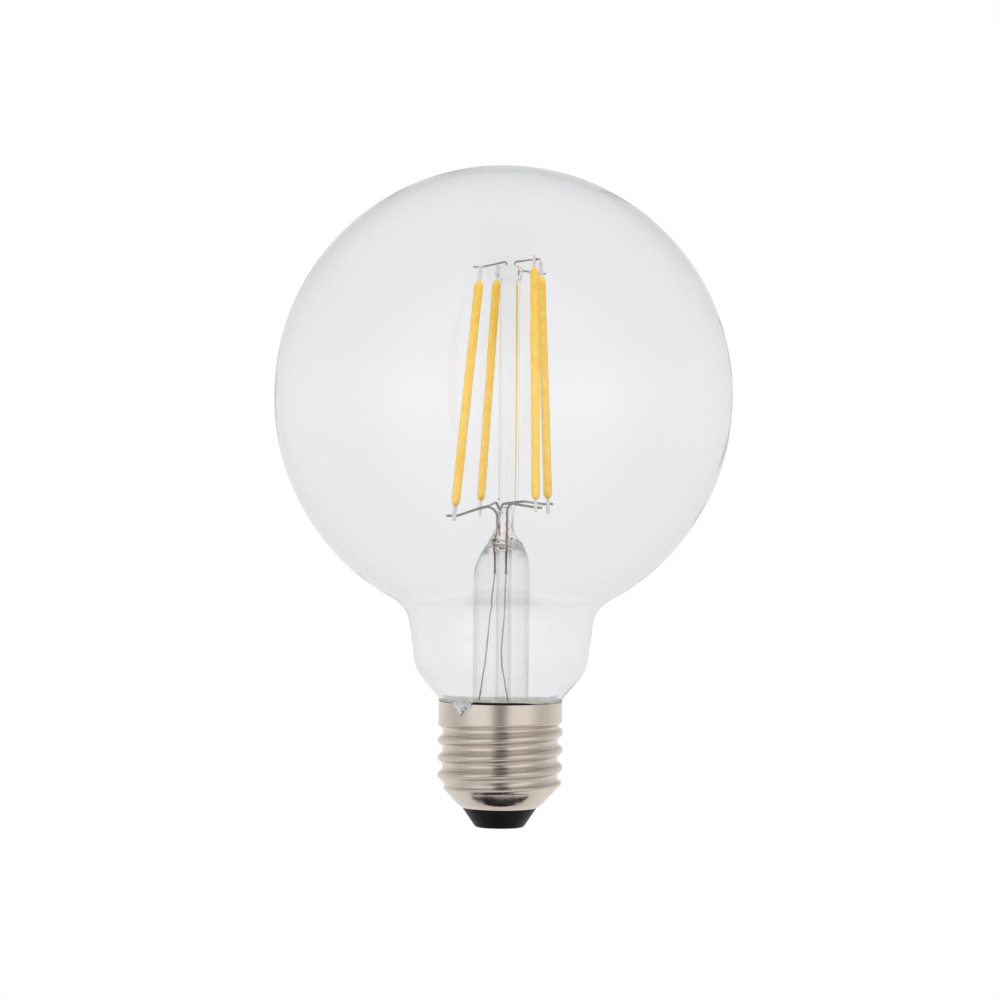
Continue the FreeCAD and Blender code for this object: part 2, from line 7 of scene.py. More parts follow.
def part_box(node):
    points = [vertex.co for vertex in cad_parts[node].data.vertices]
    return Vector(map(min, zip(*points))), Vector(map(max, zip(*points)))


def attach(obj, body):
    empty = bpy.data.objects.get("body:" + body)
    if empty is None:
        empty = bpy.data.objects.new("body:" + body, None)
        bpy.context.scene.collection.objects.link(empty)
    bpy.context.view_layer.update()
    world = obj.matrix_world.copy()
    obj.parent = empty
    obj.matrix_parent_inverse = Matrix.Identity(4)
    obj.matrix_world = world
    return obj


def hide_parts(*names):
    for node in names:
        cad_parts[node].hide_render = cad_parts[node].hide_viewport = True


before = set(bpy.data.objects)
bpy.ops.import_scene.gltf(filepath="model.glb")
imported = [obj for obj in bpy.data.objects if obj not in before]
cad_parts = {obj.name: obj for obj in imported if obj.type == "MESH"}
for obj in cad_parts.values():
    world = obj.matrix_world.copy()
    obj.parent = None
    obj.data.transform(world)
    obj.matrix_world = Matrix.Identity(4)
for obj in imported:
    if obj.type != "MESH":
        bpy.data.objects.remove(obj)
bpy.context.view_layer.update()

# Sizes are in mm, as in the part, and meshes in metres. Whole pieces take theirs from the frame.
MM = 0.001
low = {name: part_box(name)[0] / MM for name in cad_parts}
high = {name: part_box(name)[1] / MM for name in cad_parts}

# Globe
crown = high["globe"].z
seal_height = low["globe"].z
globe_radius = high["globe"].x
globe_belt = 0.7
globe_wall = 0.8
crown_wall = 1.05
neck_diameter = 35.4
neck_taper = 8.0
neck_fillet = 6.5
shoulder_angle = 40.0
shoulder_round = 8.0
collar_round = 1.2
collar_radius = 10.88
upper_centre = crown - globe_radius
lower_centre = upper_centre - globe_belt

# Screw cap
rim_height = high["screw_shell"].z
lip_height = low["screw_shell"].z
skirt_radius = 12.85
shell_wall = 0.3
shell_step = 2
thread_major = 26.05
thread_pitch = 3.629
thread_crest_arc = 0.88
thread_root_arc = 1.17
thread_crest_height = 16.3
thread_top = 22.4
thread_bottom = 7.6
thread_runout = 1.5
bowl_angle = 47.0
bowl_round = 2.5
bowl_knee = Vector((8.73, 4.82))
bowl_knee_round = 6.0
bowl_rise = 43.0
lip_radius = 7.75
sheet_edge = 0.13
rim_gap = 0.2
insulator_foot = 5.0
insulator_edge = 0.7
insulator_top = high["insulator"].z
contact_radius = high["centre_contact"].x
contact_thickness = 0.6
contact_dish = 0.12
shank_radius = 1.0
shank_top = high["centre_contact"].z
solder_angle = 233.3
solder_root = 0.2
solder_crease = 0.07
cement_depth = 3.7
cement_rise = 0.42
cement_lip = 0.42
cement_columns = 720
rim_lift = 0.42

# Stem
pillar_top = high["pillar"].z
pillar_radius = 2.1
pillar_offset = 1.2
pillar_head_radius = 2.5
pillar_head_height = 2.8
press_top = 66.3
press_turn = 6.0
# Depth of the painted shade on the sides of the press
press_shade_depth = 0.7
flare_radius = 5.8
flare_bore = 4.95
flare_round = 5.0
flare_edge = 1.3
flare_top = press_top - 15
exhaust_radius = 1.6
exhaust_bore = 1.0
exhaust_shift = 0.45
exhaust_tip = 19.5
exhaust_tip_wall = 1.6
exhaust_end = press_top - 6.9
exhaust_hole = 1.9
exhaust_hole_angle = 237.0
exhaust_hole_flat = 0.6
neck_bore = collar_radius - globe_wall

# Wires and filaments
lead_wire = 0.5
dumet_wire = 0.42
outer_wire = 0.3
weld_bead = 0.7
lead_left = Vector((-1.0, -1.9, 0))
lead_right = Vector((0.95, -2.75, 0))
knot_left = Vector((-1.4, -1.7, 0))
knot_right = Vector((0.85, -2.55, 0))
dumet_top = 3.4
dumet_bottom = 13.2
# Depths below the press top between which the seal wire turns to oxide, and then to bare wire
wet_depths = (9.0, 7.4)
bare_depths = (11.0, 11.8)
arm_rise = 1.35
arm_run = 1.0
arm_overhang = 1.5
branch_root = 0.3
branch_left = [Vector((-0.6, -2.15, 0)), Vector((-1.3, -1.6, 1.3))]
branch_right = [Vector((-0.4, -2.45, 0)), Vector((0.0, -2.6, 1.05)), Vector((1.2, -2.7, 1.2)),
                Vector((4.4, -2.3, 1.6))]
link_run = 0.4
link_rise = 0.75
link_dip = 0.7
link_wire = 0.38
link_dip_width = 1.6
link_depth = 0.85
link_spread = 1.2
link_bend = 0.4
lead_bend_left = 2.4
lead_bend_right = 2.0
wire_bend = 0.6
wire_step = 0.2
sway_bend = 6.0
pad_height = 14.8
board_face = -0.5
left_pad = -3.6
right_pad = 2.4
pad_rise = 1.4
# Bends of the outer leads: share of the way down to the mouth of the flare, and place there
sway_left = [(0.2, -2.05, -1.65), (0.45, -2.65, -1.55), (0.66, -3.2, -1.5), (0.89, -4.2, -0.9),
             (1.0, -4.65, -0.2)]
sway_right = [(0.28, 0.6, -2.6), (0.55, 0.05, -2.7), (0.7, 0.25, -2.65), (1.0, 2.0, -2.4)]
filament_length = 46.0
filament_width = 1.7
filament_thickness = 1.5
filament_edge = 0.5
filament_end = 1.4
filament_rows = 44
filament_straight = 2.0
tab_length = 3.6
tab_root = 1.0
tab_width = 0.9
tab_thickness = 0.25
# Share of the light tone given off as a painted glow
painted_glow_share = 0.36
foot_radius = 12.0
head_radius = 7.5
light_centre = (upper_centre + lower_centre) / 2 + 1.65
# Turn of foot and head round the pillar, lift of the stick, where the wires cross its two tabs, and how
# far the coat runs over them
filaments = {
    "front_left": (204.7, 210.0, -1.05, 2.5, 3.3, 0.5),
    "rear_left": (118.4, 112.7, -0.5, 1.8, 1.8, 0.4),
    "front_right": (297.8, 310.8, 1.1, 2.6, 2.8, 1.1),
    "rear_right": (46.2, 31.4, 0.2, 1.6, 1.0, 0.5),
}
up = Vector((0, 0, 1))
pillar_axis = Vector((pillar_offset, 0, 0))
# Blender seeds the noise of the dents from the clock unless it is told a seed
dent_seed = 2
noise.seed_set(dent_seed)


# Helpers
def node(tree, kind, inputs=None, **settings):
    """Adds a node with its settings; inputs are values, or the node or socket that links in."""
    made = tree.nodes.new(kind)
    for name, value in settings.items():
        setattr(made, name, value)
    for key, value in (inputs or {}).items():
        if isinstance(value, bpy.types.Node):
            value = value.outputs[0]
        if isinstance(value, bpy.types.NodeSocket):
            tree.links.new(value, made.inputs[key])
        else:
            made.inputs[key].default_value = value
    return made


def calc(tree, operation, *values):
    """One sum of values, nodes or sockets."""
    return node(tree, "ShaderNodeMath", dict(enumerate(values)), operation=operation)


def remap(tree, value, start, end, least=0.0, most=1.0, **settings):
    """Value carried over from one range to another, and held at its ends."""
    return node(tree, "ShaderNodeMapRange", {"Value": value, "From Min": start, "From Max": end,
                                             "To Min": least, "To Max": most}, **settings)


def blend(tree, share, tone, other):
    """Colour that goes over from one tone to the other by a share."""
    return node(tree, "ShaderNodeMix", {0: share, 6: tone, 7: other}, data_type="RGBA").outputs[2]


def colour(code):
    """Linear colour of an sRGB hex code."""
    parts = [int(code[i:i + 2], 16) / 255 for i in (1, 3, 5)]
    linear = [c / 12.92 if c <= 0.04045 else ((c + 0.055) / 1.055) ** 2.4 for c in parts]
    return (*linear, 1.0)


def grain(tree, place, size, detail):
    """Noise texture with a pattern of this size in mm."""
    return node(tree, "ShaderNodeTexNoise", {"Vector": place, "Scale": 1 / (size * MM), "Detail": detail})


def polar(radius, degrees, height=0.0):
    turn = math.radians(degrees)
    return Vector((radius * math.cos(turn), radius * math.sin(turn), height))


def rounded(corners, step=6.0):
    """Outline through (radius, height, rounding) corners, each rounding drawn as an arc."""
    outline = []
    for index, (r, z, edge) in enumerate(corners):
        here = Vector((r, z))
        if edge == 0:
            outline.append(here)
            continue
        before = (Vector(corners[index - 1][:2]) - here).normalized()
        after = (Vector(corners[index + 1][:2]) - here).normalized()
        half = before.angle(after) / 2
        centre = here + (before + after).normalized() * (edge / math.sin(half))
        spoke = here + before * (edge / math.tan(half)) - centre
        side = 1 if before.x * after.y < before.y * after.x else -1
        count = max(2, math.ceil(math.degrees(math.pi - 2 * half) / step))
        for i in range(count + 1):
            turn = Matrix.Rotation(side * (math.pi - 2 * half) * i / count, 2)
            outline.append(centre + turn @ spoke)
    return outline


def arc(centre, radius, start, end, count):
    """Points of an arc between two turns, in degrees from straight out."""
    turns = [math.radians(start + (end - start) * i / count) for i in range(count + 1)]
    return [centre + Vector((math.cos(turn), math.sin(turn))) * radius for turn in turns]


def divided(outline, step):
    """Outline with points added on its straight runs, none further apart than the step."""
    points = [outline[0]]
    for start, end in zip(outline, outline[1:]):
        count = max(1, math.ceil((end - start).length / step))
        points += [start.lerp(end, (i + 1) / count) for i in range(count)]
    return points


def dented(point, size, depth, seed):
    """Point moved by smooth noise of this size."""
    return point + noise.noise_vector(point / size + Vector((seed, 0, 0))) * depth


def ramp(value, start, end):
    share = min(max((value - start) / (end - start), 0.0), 1.0)
    return share * share * (3 - 2 * share)


def mark(mesh, name, values):
    """Number for each point of a mesh, under a name that its material or shape tree reads."""
    mesh.attributes.new(name, "FLOAT", "POINT").data.foreach_set("value", values)


def line_mesh(name, lines, **attributes):
    """Lines of points in mm, with a number for each point under each attribute's name."""
    mesh = bpy.data.meshes.new(name)
    places, edges = [], []
    for line in lines:
        edges += [(len(places) + i, len(places) + i + 1) for i in range(len(line) - 1)]
        places += [Vector(point) if len(point) == 3 else Vector((point[0], 0, point[1])) for point in line]
    mesh.from_pydata([place * MM for place in places], edges, [])
    for key, values in attributes.items():
        mark(mesh, key, values)
    return mesh


def grown(name, mesh, tree, material, **sizes):
    """Piece that a shape tree makes from a line."""
    holder = bpy.data.objects.new(name + "_line", mesh)
    bpy.context.scene.collection.objects.link(holder)
    modifier = holder.modifiers.new("shape", "NODES")
    modifier.node_group = tree
    inputs = {item.name: item.identifier for item in tree.interface.items_tree if item.in_out == "INPUT"}
    modifier[inputs["Material"]] = material
    for key, value in sizes.items():
        modifier[inputs[key.replace("_", " ").title()]] = value
    shaped = holder.evaluated_get(bpy.context.evaluated_depsgraph_get())
    made = bpy.data.meshes.new_from_object(shaped)
    made.materials.clear()
    made.materials.append(material)
    made.polygons.foreach_set("material_index", [0] * len(made.polygons))
    piece = bpy.data.objects.new(name, made)
    bpy.context.scene.collection.objects.link(piece)
    bpy.data.objects.remove(holder)
    return piece


def lofted(mesh, rings, looped=False):
    """Skin over rings of points, closed at both ends or joined end to end."""
    rows = [[mesh.verts.new(point * MM) for point in ring] for ring in rings]
    for upper, lower in zip(rows, rows[1:] + (rows[:1] if looped else [])):
        for i in range(len(upper)):
            following = (i + 1) % len(upper)
            mesh.faces.new((upper[i], lower[i], lower[following], upper[following]))
    for row, flip in () if looped else ((rows[0], False), (rows[-1], True)):
        middle = mesh.verts.new(sum((vert.co for vert in row), Vector()) / len(row))
        for i in range(len(row)):
            corner = (row[i], row[(i + 1) % len(row)], middle)
            mesh.faces.new(corner[::-1] if flip else corner)


def skinned(name, mesh, material):
    """Piece from a finished mesh, smooth and in its material."""
    data = bpy.data.meshes.new(name)
    mesh.to_mesh(data)
    mesh.free()
    data.polygons.foreach_set("use_smooth", [True] * len(data.polygons))
    data.materials.append(material)
    piece = bpy.data.objects.new(name, data)
    bpy.context.scene.collection.objects.link(piece)
    return piece


def placed(piece, slot, *replaced):
    """Hands a finished piece to the frame."""
    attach(piece, "root")
    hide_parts(*replaced)
    return piece


# Shape trees
def shape_tree(name, sizes):
    """Empty tree from a line to a piece, with a named input for each size."""
    tree = bpy.data.node_groups.new(name, "GeometryNodeTree")
    tree.interface.new_socket("Geometry", in_out="INPUT", socket_type="NodeSocketGeometry")
    for label, kind in sizes.items():
        tree.interface.new_socket(label, in_out="INPUT", socket_type="NodeSocket" + kind)
    tree.interface.new_socket("Material", in_out="INPUT", socket_type="NodeSocketMaterial")
    tree.interface.new_socket("Geometry", in_out="OUTPUT", socket_type="NodeSocketGeometry")
    return tree, node(tree, "NodeGroupInput").outputs


def close_tree(tree, given, geometry):
    """Ends a shape tree: welded, smooth, real and in its material."""
    merged = node(tree, "GeometryNodeMergeByDistance", {"Geometry": geometry, "Distance": 1e-6})
    bare = node(tree, "FunctionNodeCompare", {0: node(tree, "GeometryNodeInputMeshEdgeNeighbors"), 1: 0.5},
                operation="LESS_THAN")
    whole = node(tree, "GeometryNodeDeleteGeometry", {"Geometry": merged, "Selection": bare},
                 domain="EDGE", mode="EDGE_FACE")
    smooth = node(tree, "GeometryNodeSetShadeSmooth", {"Geometry": whole})
    real = node(tree, "GeometryNodeRealizeInstances", {"Geometry": smooth})
    done = node(tree, "GeometryNodeSetMaterial", {"Geometry": real, "Material": given["Material"]})
    node(tree, "NodeGroupOutput", {"Geometry": done})
    return tree


WAVE_SIZES = {"Waviness": "Float", "Wave Size": "Float", "Seed": "Float"}


def swayed(tree, given, geometry):
    """Geometry that strays by the Waviness over the Wave Size, from the Seed."""
    place = node(tree, "GeometryNodeInputPosition")
    scale = calc(tree, "DIVIDE", 1.0, given["Wave Size"])
    waves = node(tree, "ShaderNodeTexNoise",
                 {"Vector": place, "W": given["Seed"], "Scale": scale, "Detail": 1.0}, noise_dimensions="4D")
    centred = node(tree, "ShaderNodeVectorMath", {0: waves.outputs["Color"], 1: (0.5, 0.5, 0.5)},
                   operation="SUBTRACT")
    doubled = calc(tree, "MULTIPLY", given["Waviness"], 2.0)
    offset = node(tree, "ShaderNodeVectorMath", {0: centred, "Scale": doubled}, operation="SCALE")
    return node(tree, "GeometryNodeSetPosition", {"Geometry": geometry, "Offset": offset})


def lathe_tree():
    """Turns an outline about the lamp axis."""
    tree, given = shape_tree("turned piece", {"Segments": "Int", **WAVE_SIZES})
    count = node(tree, "GeometryNodeAttributeDomainSize", {"Geometry": given["Geometry"]})
    columns = calc(tree, "ADD", given["Segments"], 1.0)
    grid = node(tree, "GeometryNodeMeshGrid", {"Vertices X": columns, "Vertices Y": count})
    index = node(tree, "GeometryNodeInputIndex")
    row = calc(tree, "FLOORED_MODULO", index, count)
    column = calc(tree, "FLOOR", calc(tree, "DIVIDE", index, count))
    share = calc(tree, "DIVIDE", column, given["Segments"])
    turn = calc(tree, "MULTIPLY", share, 2 * math.pi)
    place = node(tree, "GeometryNodeSampleIndex",
                 {"Geometry": given["Geometry"], "Value": node(tree, "GeometryNodeInputPosition"),
                  "Index": row}, data_type="FLOAT_VECTOR")
    around = node(tree, "ShaderNodeVectorRotate", {"Vector": place, "Angle": turn}, rotation_type="Z_AXIS")
    turned = node(tree, "GeometryNodeSetPosition", {"Geometry": grid, "Position": around})
    return close_tree(tree, given, swayed(tree, given, turned))


def wire_tree():
    """Round wire along the straight runs of a line, bent at its corners."""
    tree, given = shape_tree("bent wire", {"Diameter": "Float", "Bend": "Float", **WAVE_SIZES})
    line = node(tree, "GeometryNodeMeshToCurve", {"Mesh": given["Geometry"]})
    bent = node(tree, "GeometryNodeFilletCurve",
                {"Curve": line, "Count": 8, "Radius": given["Bend"], "Limit Radius": True}, mode="POLY")
    fine = node(tree, "GeometryNodeResampleCurve", {"Curve": bent, "Length": wire_step * MM}, mode="LENGTH")
    radius = calc(tree, "DIVIDE", given["Diameter"], 2.0)
    ring = node(tree, "GeometryNodeCurvePrimitiveCircle", {"Resolution": 12, "Radius": radius})
    tube = node(tree, "GeometryNodeCurveToMesh",
                {"Curve": swayed(tree, given, fine), "Profile Curve": ring, "Fill Caps": True})
    return close_tree(tree, given, tube)


def stick_tree():
    """Bar with rounded edges along a line, square to the Face direction, as wide as the line's sizes say."""
    sizes = {"Width": "Float", "Thickness": "Float", "Edge": "Float", "Face": "Vector"}
    tree, given = shape_tree("bar along a line", {**sizes, **WAVE_SIZES})
    line = node(tree, "GeometryNodeMeshToCurve", {"Mesh": given["Geometry"]})
    faced = node(tree, "GeometryNodeSetCurveNormal", {"Curve": line, "Normal": given["Face"]}, mode="FREE")
    size = node(tree, "GeometryNodeInputNamedAttribute", {"Name": "size"})
    section = node(tree, "GeometryNodeCurvePrimitiveQuadrilateral",
                   {"Width": given["Thickness"], "Height": given["Width"]})
    section = node(tree, "GeometryNodeFilletCurve",
                   {"Curve": section, "Count": 4, "Radius": given["Edge"], "Limit Radius": True}, mode="POLY")
    bar = node(tree, "GeometryNodeCurveToMesh",
               {"Curve": faced, "Profile Curve": section, "Scale": size, "Fill Caps": True})
    return close_tree(tree, given, swayed(tree, given, bar))


def bead_tree():
    """Lumpy bead at each point."""
    tree, given = shape_tree("weld beads", {"Diameter": "Float", **WAVE_SIZES})
    radius = calc(tree, "DIVIDE", given["Diameter"], 2.0)
    ball = node(tree, "GeometryNodeMeshIcoSphere", {"Radius": radius, "Subdivisions": 3})
    beads = node(tree, "GeometryNodeInstanceOnPoints", {"Points": given["Geometry"], "Instance": ball})
    real = node(tree, "GeometryNodeRealizeInstances", {"Geometry": beads})
    return close_tree(tree, given, swayed(tree, given, real))


# Materials
def new_material(name):
    """Empty material and its Object coordinates."""
    made = bpy.data.materials.new(name)
    made.use_nodes = True
    made.node_tree.nodes.clear()
    return made, made.node_tree, node(made.node_tree, "ShaderNodeTexCoord").outputs["Object"]


def close_material(made, inputs, tint=None):
    """Ends a material: one shader with these inputs, and a tint of some density through the body."""
    tree = made.node_tree
    ends = {"Surface": node(tree, "ShaderNodeBsdfPrincipled", inputs)}
    if tint:
        tone, density = tint
        ends["Volume"] = node(tree, "ShaderNodeVolumeAbsorption", {"Color": colour(tone), "Density": density})
    node(tree, "ShaderNodeOutputMaterial", ends)
    return made


def bumped(tree, height, strength, depth):
    """Relief of this depth in mm."""
    return node(tree, "ShaderNodeBump", {"Height": height, "Strength": strength, "Distance": depth * MM})


def clouded(tree, place, size, detail, dark, light, spread=False):
    """Clouds of this size in mm, and the tone that they carry from dark to light."""
    clouds = grain(tree, place, size, detail)
    share = remap(tree, clouds, 0.3, 0.7) if spread else clouds
    return clouds, blend(tree, share, colour(dark), colour(light))


def stained_or_shaded(tree, tone, attribute, stain_or_shade):
    """Tone that goes over to a stain or to painted shade where the piece's attribute says so."""
    share = node(tree, "ShaderNodeAttribute", attribute_name=attribute).outputs["Fac"]
    return blend(tree, share, tone, colour(stain_or_shade))


# Blown soda-lime glass: clear and colourless through the wall, faintly green where it is seen edge on,
# with the slow waves that blowing leaves
def blown_glass():
    made, tree, place = new_material("blown soda-lime glass")
    bump = bumped(tree, grain(tree, place, 14, 1.0), 0.5, 0.05)
    return close_material(made, {"Base Color": colour("#F9F9FA"), "Roughness": 0.0, "IOR": 1.52,
                                 "Transmission Weight": 1.0, "Normal": bump}, tint=("#BFDDD2", 9.0))


# Drawn lead glass: the stem's tube keeps fine streaks along its length and a warm grey tint, and painted
# shade darkens the exhaust hole and the sides of the press
def stem_glass():
    made, tree, place = new_material("drawn lead glass")
    drawn = node(tree, "ShaderNodeMapping", {"Vector": place, "Scale": (1, 1, 0.03)})
    bump = bumped(tree, grain(tree, drawn, 0.9, 2.0), 0.5, 0.04)
    # Painted shade: olive brown in the exhaust hole and on the sides of the press
    tone = stained_or_shaded(tree, colour("#FEFEFD"), "painted_shade", "#4A4630")
    return close_material(made, {"Base Color": tone, "Roughness": 0.0, "IOR": 1.55,
                                 "Transmission Weight": 1.0, "Normal": bump}, tint=("#C9CBBB", 2.0))


# Bright nickel plate on drawn brass: warm white metal, spun lines round the shell, cloudy handling marks,
# and painted shade on the thread's steep sides
def nickel_plate():
    made, tree, place = new_material("nickel-plated brass")
    round_lines = node(tree, "ShaderNodeMapping", {"Vector": place, "Scale": (0.04, 0.04, 1)})
    lines = grain(tree, round_lines, 0.35, 2.0)
    clouds, tone = clouded(tree, place, 5, 4.0, "#DCCFC3", "#E8DDD2")
    # Painted shade darkens the thread's steep flanks
    tone = stained_or_shaded(tree, tone, "flank_shade", "#CDC5BB")
    gloss = remap(tree, clouds, 0.3, 0.7, 0.07, 0.14)
    bump = bumped(tree, lines, 0.15, 0.006)
    return close_material(made, {"Base Color": tone, "Metallic": 1.0, "Roughness": gloss, "Normal": bump})


# Black cap glass: pressed, glossy and near black, with a faint orange-peel skin
def cap_glass():
    made, tree, place = new_material("black pressed glass")
    skin, tone = clouded(tree, place, 1.2, 2.0, "#060608", "#0E0E11")
    gloss = remap(tree, skin, 0.0, 1.0, 0.3, 0.42)
    bump = bumped(tree, skin, 0.3, 0.04)
    return close_material(made, {"Base Color": tone, "Roughness": gloss, "IOR": 1.52,
                                 "Specular IOR Level": 0.12, "Normal": bump})


# A metal with clouds between two tones, glossier in the dark ones, and a fine tooth: wires, contact, solder
def clouded_metal(name, dark, light, gloss, cloud, tooth, stain_or_shade=None):
    made, tree, place = new_material(name)
    clouds, tone = clouded(tree, place, cloud, 3.0, dark, light)
    if stain_or_shade:
        tone = stained_or_shaded(tree, tone, *stain_or_shade)
    rough = remap(tree, clouds, 0.0, 1.0, *gloss)
    bump = bumped(tree, clouds, 0.4, tooth)
    return close_material(made, {"Base Color": tone, "Metallic": 1.0, "Roughness": rough, "Normal": bump})


# A dull solid with clouds between two tones: phosphor, tabs, cement and the driver's parts. What glows lets
# light in, and gives off a faint painted glow in its light tone
def clouded_solid(name, dark, light, roughness, cloud, tooth, glow=0.0, stain_or_shade=None):
    made, tree, place = new_material(name)
    clouds, tone = clouded(tree, place, cloud, 4.0, dark, light, spread=True)
    if stain_or_shade:
        tone = stained_or_shaded(tree, tone, *stain_or_shade)
    # The emission is a painted glow, the same whatever light falls on the piece
    inputs = {"Base Color": tone, "Roughness": roughness, "Normal": bumped(tree, clouds, 0.5, tooth),
              "Subsurface Weight": glow, "Subsurface Radius": (1.0, 0.8, 0.5), "Subsurface Scale": 0.4 * MM,
              "Emission Color": colour(light), "Emission Strength": glow * painted_glow_share}
    return close_material(made, inputs)


# Borated copper-clad wire: pale copper where the press wets it, dark oxide below, bare grey wire to the weld
def sealed_copper():
    made, tree, place = new_material("borated copper-clad wire")
    height = node(tree, "ShaderNodeSeparateXYZ", {0: place}).outputs["Z"]
    tone = clouded(tree, place, 0.7, 3.0, "#5A2C33", "#8A4F50")[1]
    for (start, end), metal in ((wet_depths, "#E0AC96"), (bare_depths, "#6F6C69")):
        share = remap(tree, height, (press_top - start) * MM, (press_top - end) * MM)
        tone = blend(tree, share, tone, colour(metal))
    return close_material(made, {"Base Color": tone, "Metallic": 0.6, "Roughness": 0.45})


# Pieces
def globe_outline(inset, crown_extra):
    """Outline of the globe from the crown to the end of the collar, set in by the wall."""
    taper = math.radians(neck_taper)
    slope = math.radians(shoulder_angle)
    taper_line = Vector((math.sin(taper), math.cos(taper)))
    taper_out = Vector((math.cos(taper), -math.sin(taper)))
    cone_line = Vector((math.sin(slope), math.cos(slope)))
    cone_out = Vector((math.cos(slope), -math.sin(slope)))
    rim = Vector((skirt_radius - shell_wall - rim_gap, rim_height))
    corner = rim + cone_line * ((neck_diameter / 2 - rim.x) / cone_line.x)
    cone_point = rim - cone_out * inset
    taper_point = corner - taper_out * inset
    gap = cone_point - taper_point
    turn = taper_line.x * cone_line.y - taper_line.y * cone_line.x
    shoulder = taper_point + taper_line * ((gap.x * cone_line.y - gap.y * cone_line.x) / turn)
    collar = collar_radius - inset
    collar_corner = cone_point + cone_line * ((collar - cone_point.x) / cone_line.x)

    radius = globe_radius - inset
    fillet = neck_fillet + inset
    ball = Vector((0, lower_centre))
    offset = taper_point + taper_out * fillet - ball
    along = offset.dot(taper_line)
    square = along * along - offset.dot(offset) + (radius + fillet) ** 2
    centre = ball + offset - taper_line * (math.sqrt(square) + along)
    fall = math.degrees(math.atan2(centre.y - ball.y, centre.x))
    outline = arc(Vector((0, upper_centre - crown_extra)), radius, 90, 0, count=60)
    outline += arc(ball, radius, 0, fall, count=44)
    outline += arc(centre, fillet, fall + 180, 180 - neck_taper, count=10)[1:]
    on_taper = outline[-1]
    outline += rounded([
        (on_taper.x, on_taper.y, 0),
        (shoulder.x, shoulder.y, shoulder_round - inset),
        (collar_corner.x, collar_corner.y, collar_round + inset),
        (collar, seal_height, 0),
    ])[1:]
    return outline


def make_globe(lathe):
    """Blown bulb, neck and collar with the thickness of their wall."""
    outline = globe_outline(0, 0)[::-1] + globe_outline(globe_wall, crown_wall - globe_wall)
    outline.append(outline[0])
    mesh = line_mesh("globe", [outline])
    piece = grown("globe_glass", mesh, lathe, blown_glass(), segments=224,
                  waviness=0.06 * MM, wave_size=22 * MM, seed=3.0)
    return placed(piece, "globe_glass", "globe")


def crest_distance(degrees, height):
    """How far a height is from the nearest crest of the thread."""
    rise = height - thread_crest_height - thread_pitch * degrees / 360
    return abs((rise / thread_pitch + 0.5) % 1.0 - 0.5) * thread_pitch


def thread_offset(degrees, height, wall):
    """How far the rolled thread stands off the skirt: tangent crest and root arcs, set in by the sheet."""
    arcs = thread_crest_arc + thread_root_arc
    flank = math.asin(thread_pitch / 2 / arcs)
    offset = crest_distance(degrees, height)
    centre = thread_major / 2 - thread_crest_arc
    if offset < (thread_crest_arc - wall) * math.sin(flank):
        radius = centre + math.sqrt((thread_crest_arc - wall) ** 2 - offset ** 2)
    else:
        reach = thread_pitch / 2 - offset
        radius = centre + arcs * math.cos(flank) - math.sqrt((thread_root_arc + wall) ** 2 - reach ** 2)
    return radius - (skirt_radius - wall)


def make_shell():
    """Skirt, rolled thread and bowl of the cap in one sheet with rolled edges."""
    slope = math.radians(bowl_rise)
    middle = skirt_radius - shell_wall / 2
    lip_middle = lip_radius - shell_wall * 0.75
    knee_inward = Vector((-0.66, 0.75))
    outer_step, inner_step = 0.14, 0.28
    sides = []
    for wall, step in ((0.0, outer_step), (shell_wall, inner_step)):
        lip = lip_radius - wall / math.cos(math.radians(bowl_angle))
        knee = bowl_knee + knee_inward * wall
        side = skirt_radius - wall
        corner = knee.y + (side - knee.x) / math.tan(slope)
        outline = rounded([
            (lip_middle, lip_height, 0),
            (lip, lip_height, sheet_edge),
            (knee.x, knee.y, bowl_knee_round),
            (side, corner, bowl_round - wall),
            (side, rim_height, sheet_edge),
            (middle, rim_height, 0),
        ], step=3)
        sides.append([(r, z, wall) for r, z in divided(outline, step)])
    flank = thread_pitch / 2 * thread_crest_arc / (thread_crest_arc + thread_root_arc)
    turns = range(0, 360, shell_step)
    rings, flank_shade = [], []
    for r, z, wall in sides[0] + sides[1][-2:0:-1]:
        fade = ramp(z, thread_bottom, thread_bottom + thread_runout)
        fade *= ramp(z, thread_top, thread_top - thread_runout)
        ring = [polar(r + fade * thread_offset(turn, z, wall), turn, z) for turn in turns]
        rings.append([dented(point, size=6.0, depth=0.03, seed=1.0) for point in ring])
        # Painted shade along the thread's flanks, fading out with the thread
        flank_shade += [fade * ramp(abs(crest_distance(turn, z) - flank), 0.3, 0.05) for turn in turns]
    mesh = bmesh.new()
    lofted(mesh, rings, looped=True)
    bmesh.ops.recalc_face_normals(mesh, faces=mesh.faces)
    piece = skinned("screw_shell_sheet", mesh, nickel_plate())
    mark(piece.data, "flank_shade", flank_shade)
    return placed(piece, "plated_shell", "screw_shell")


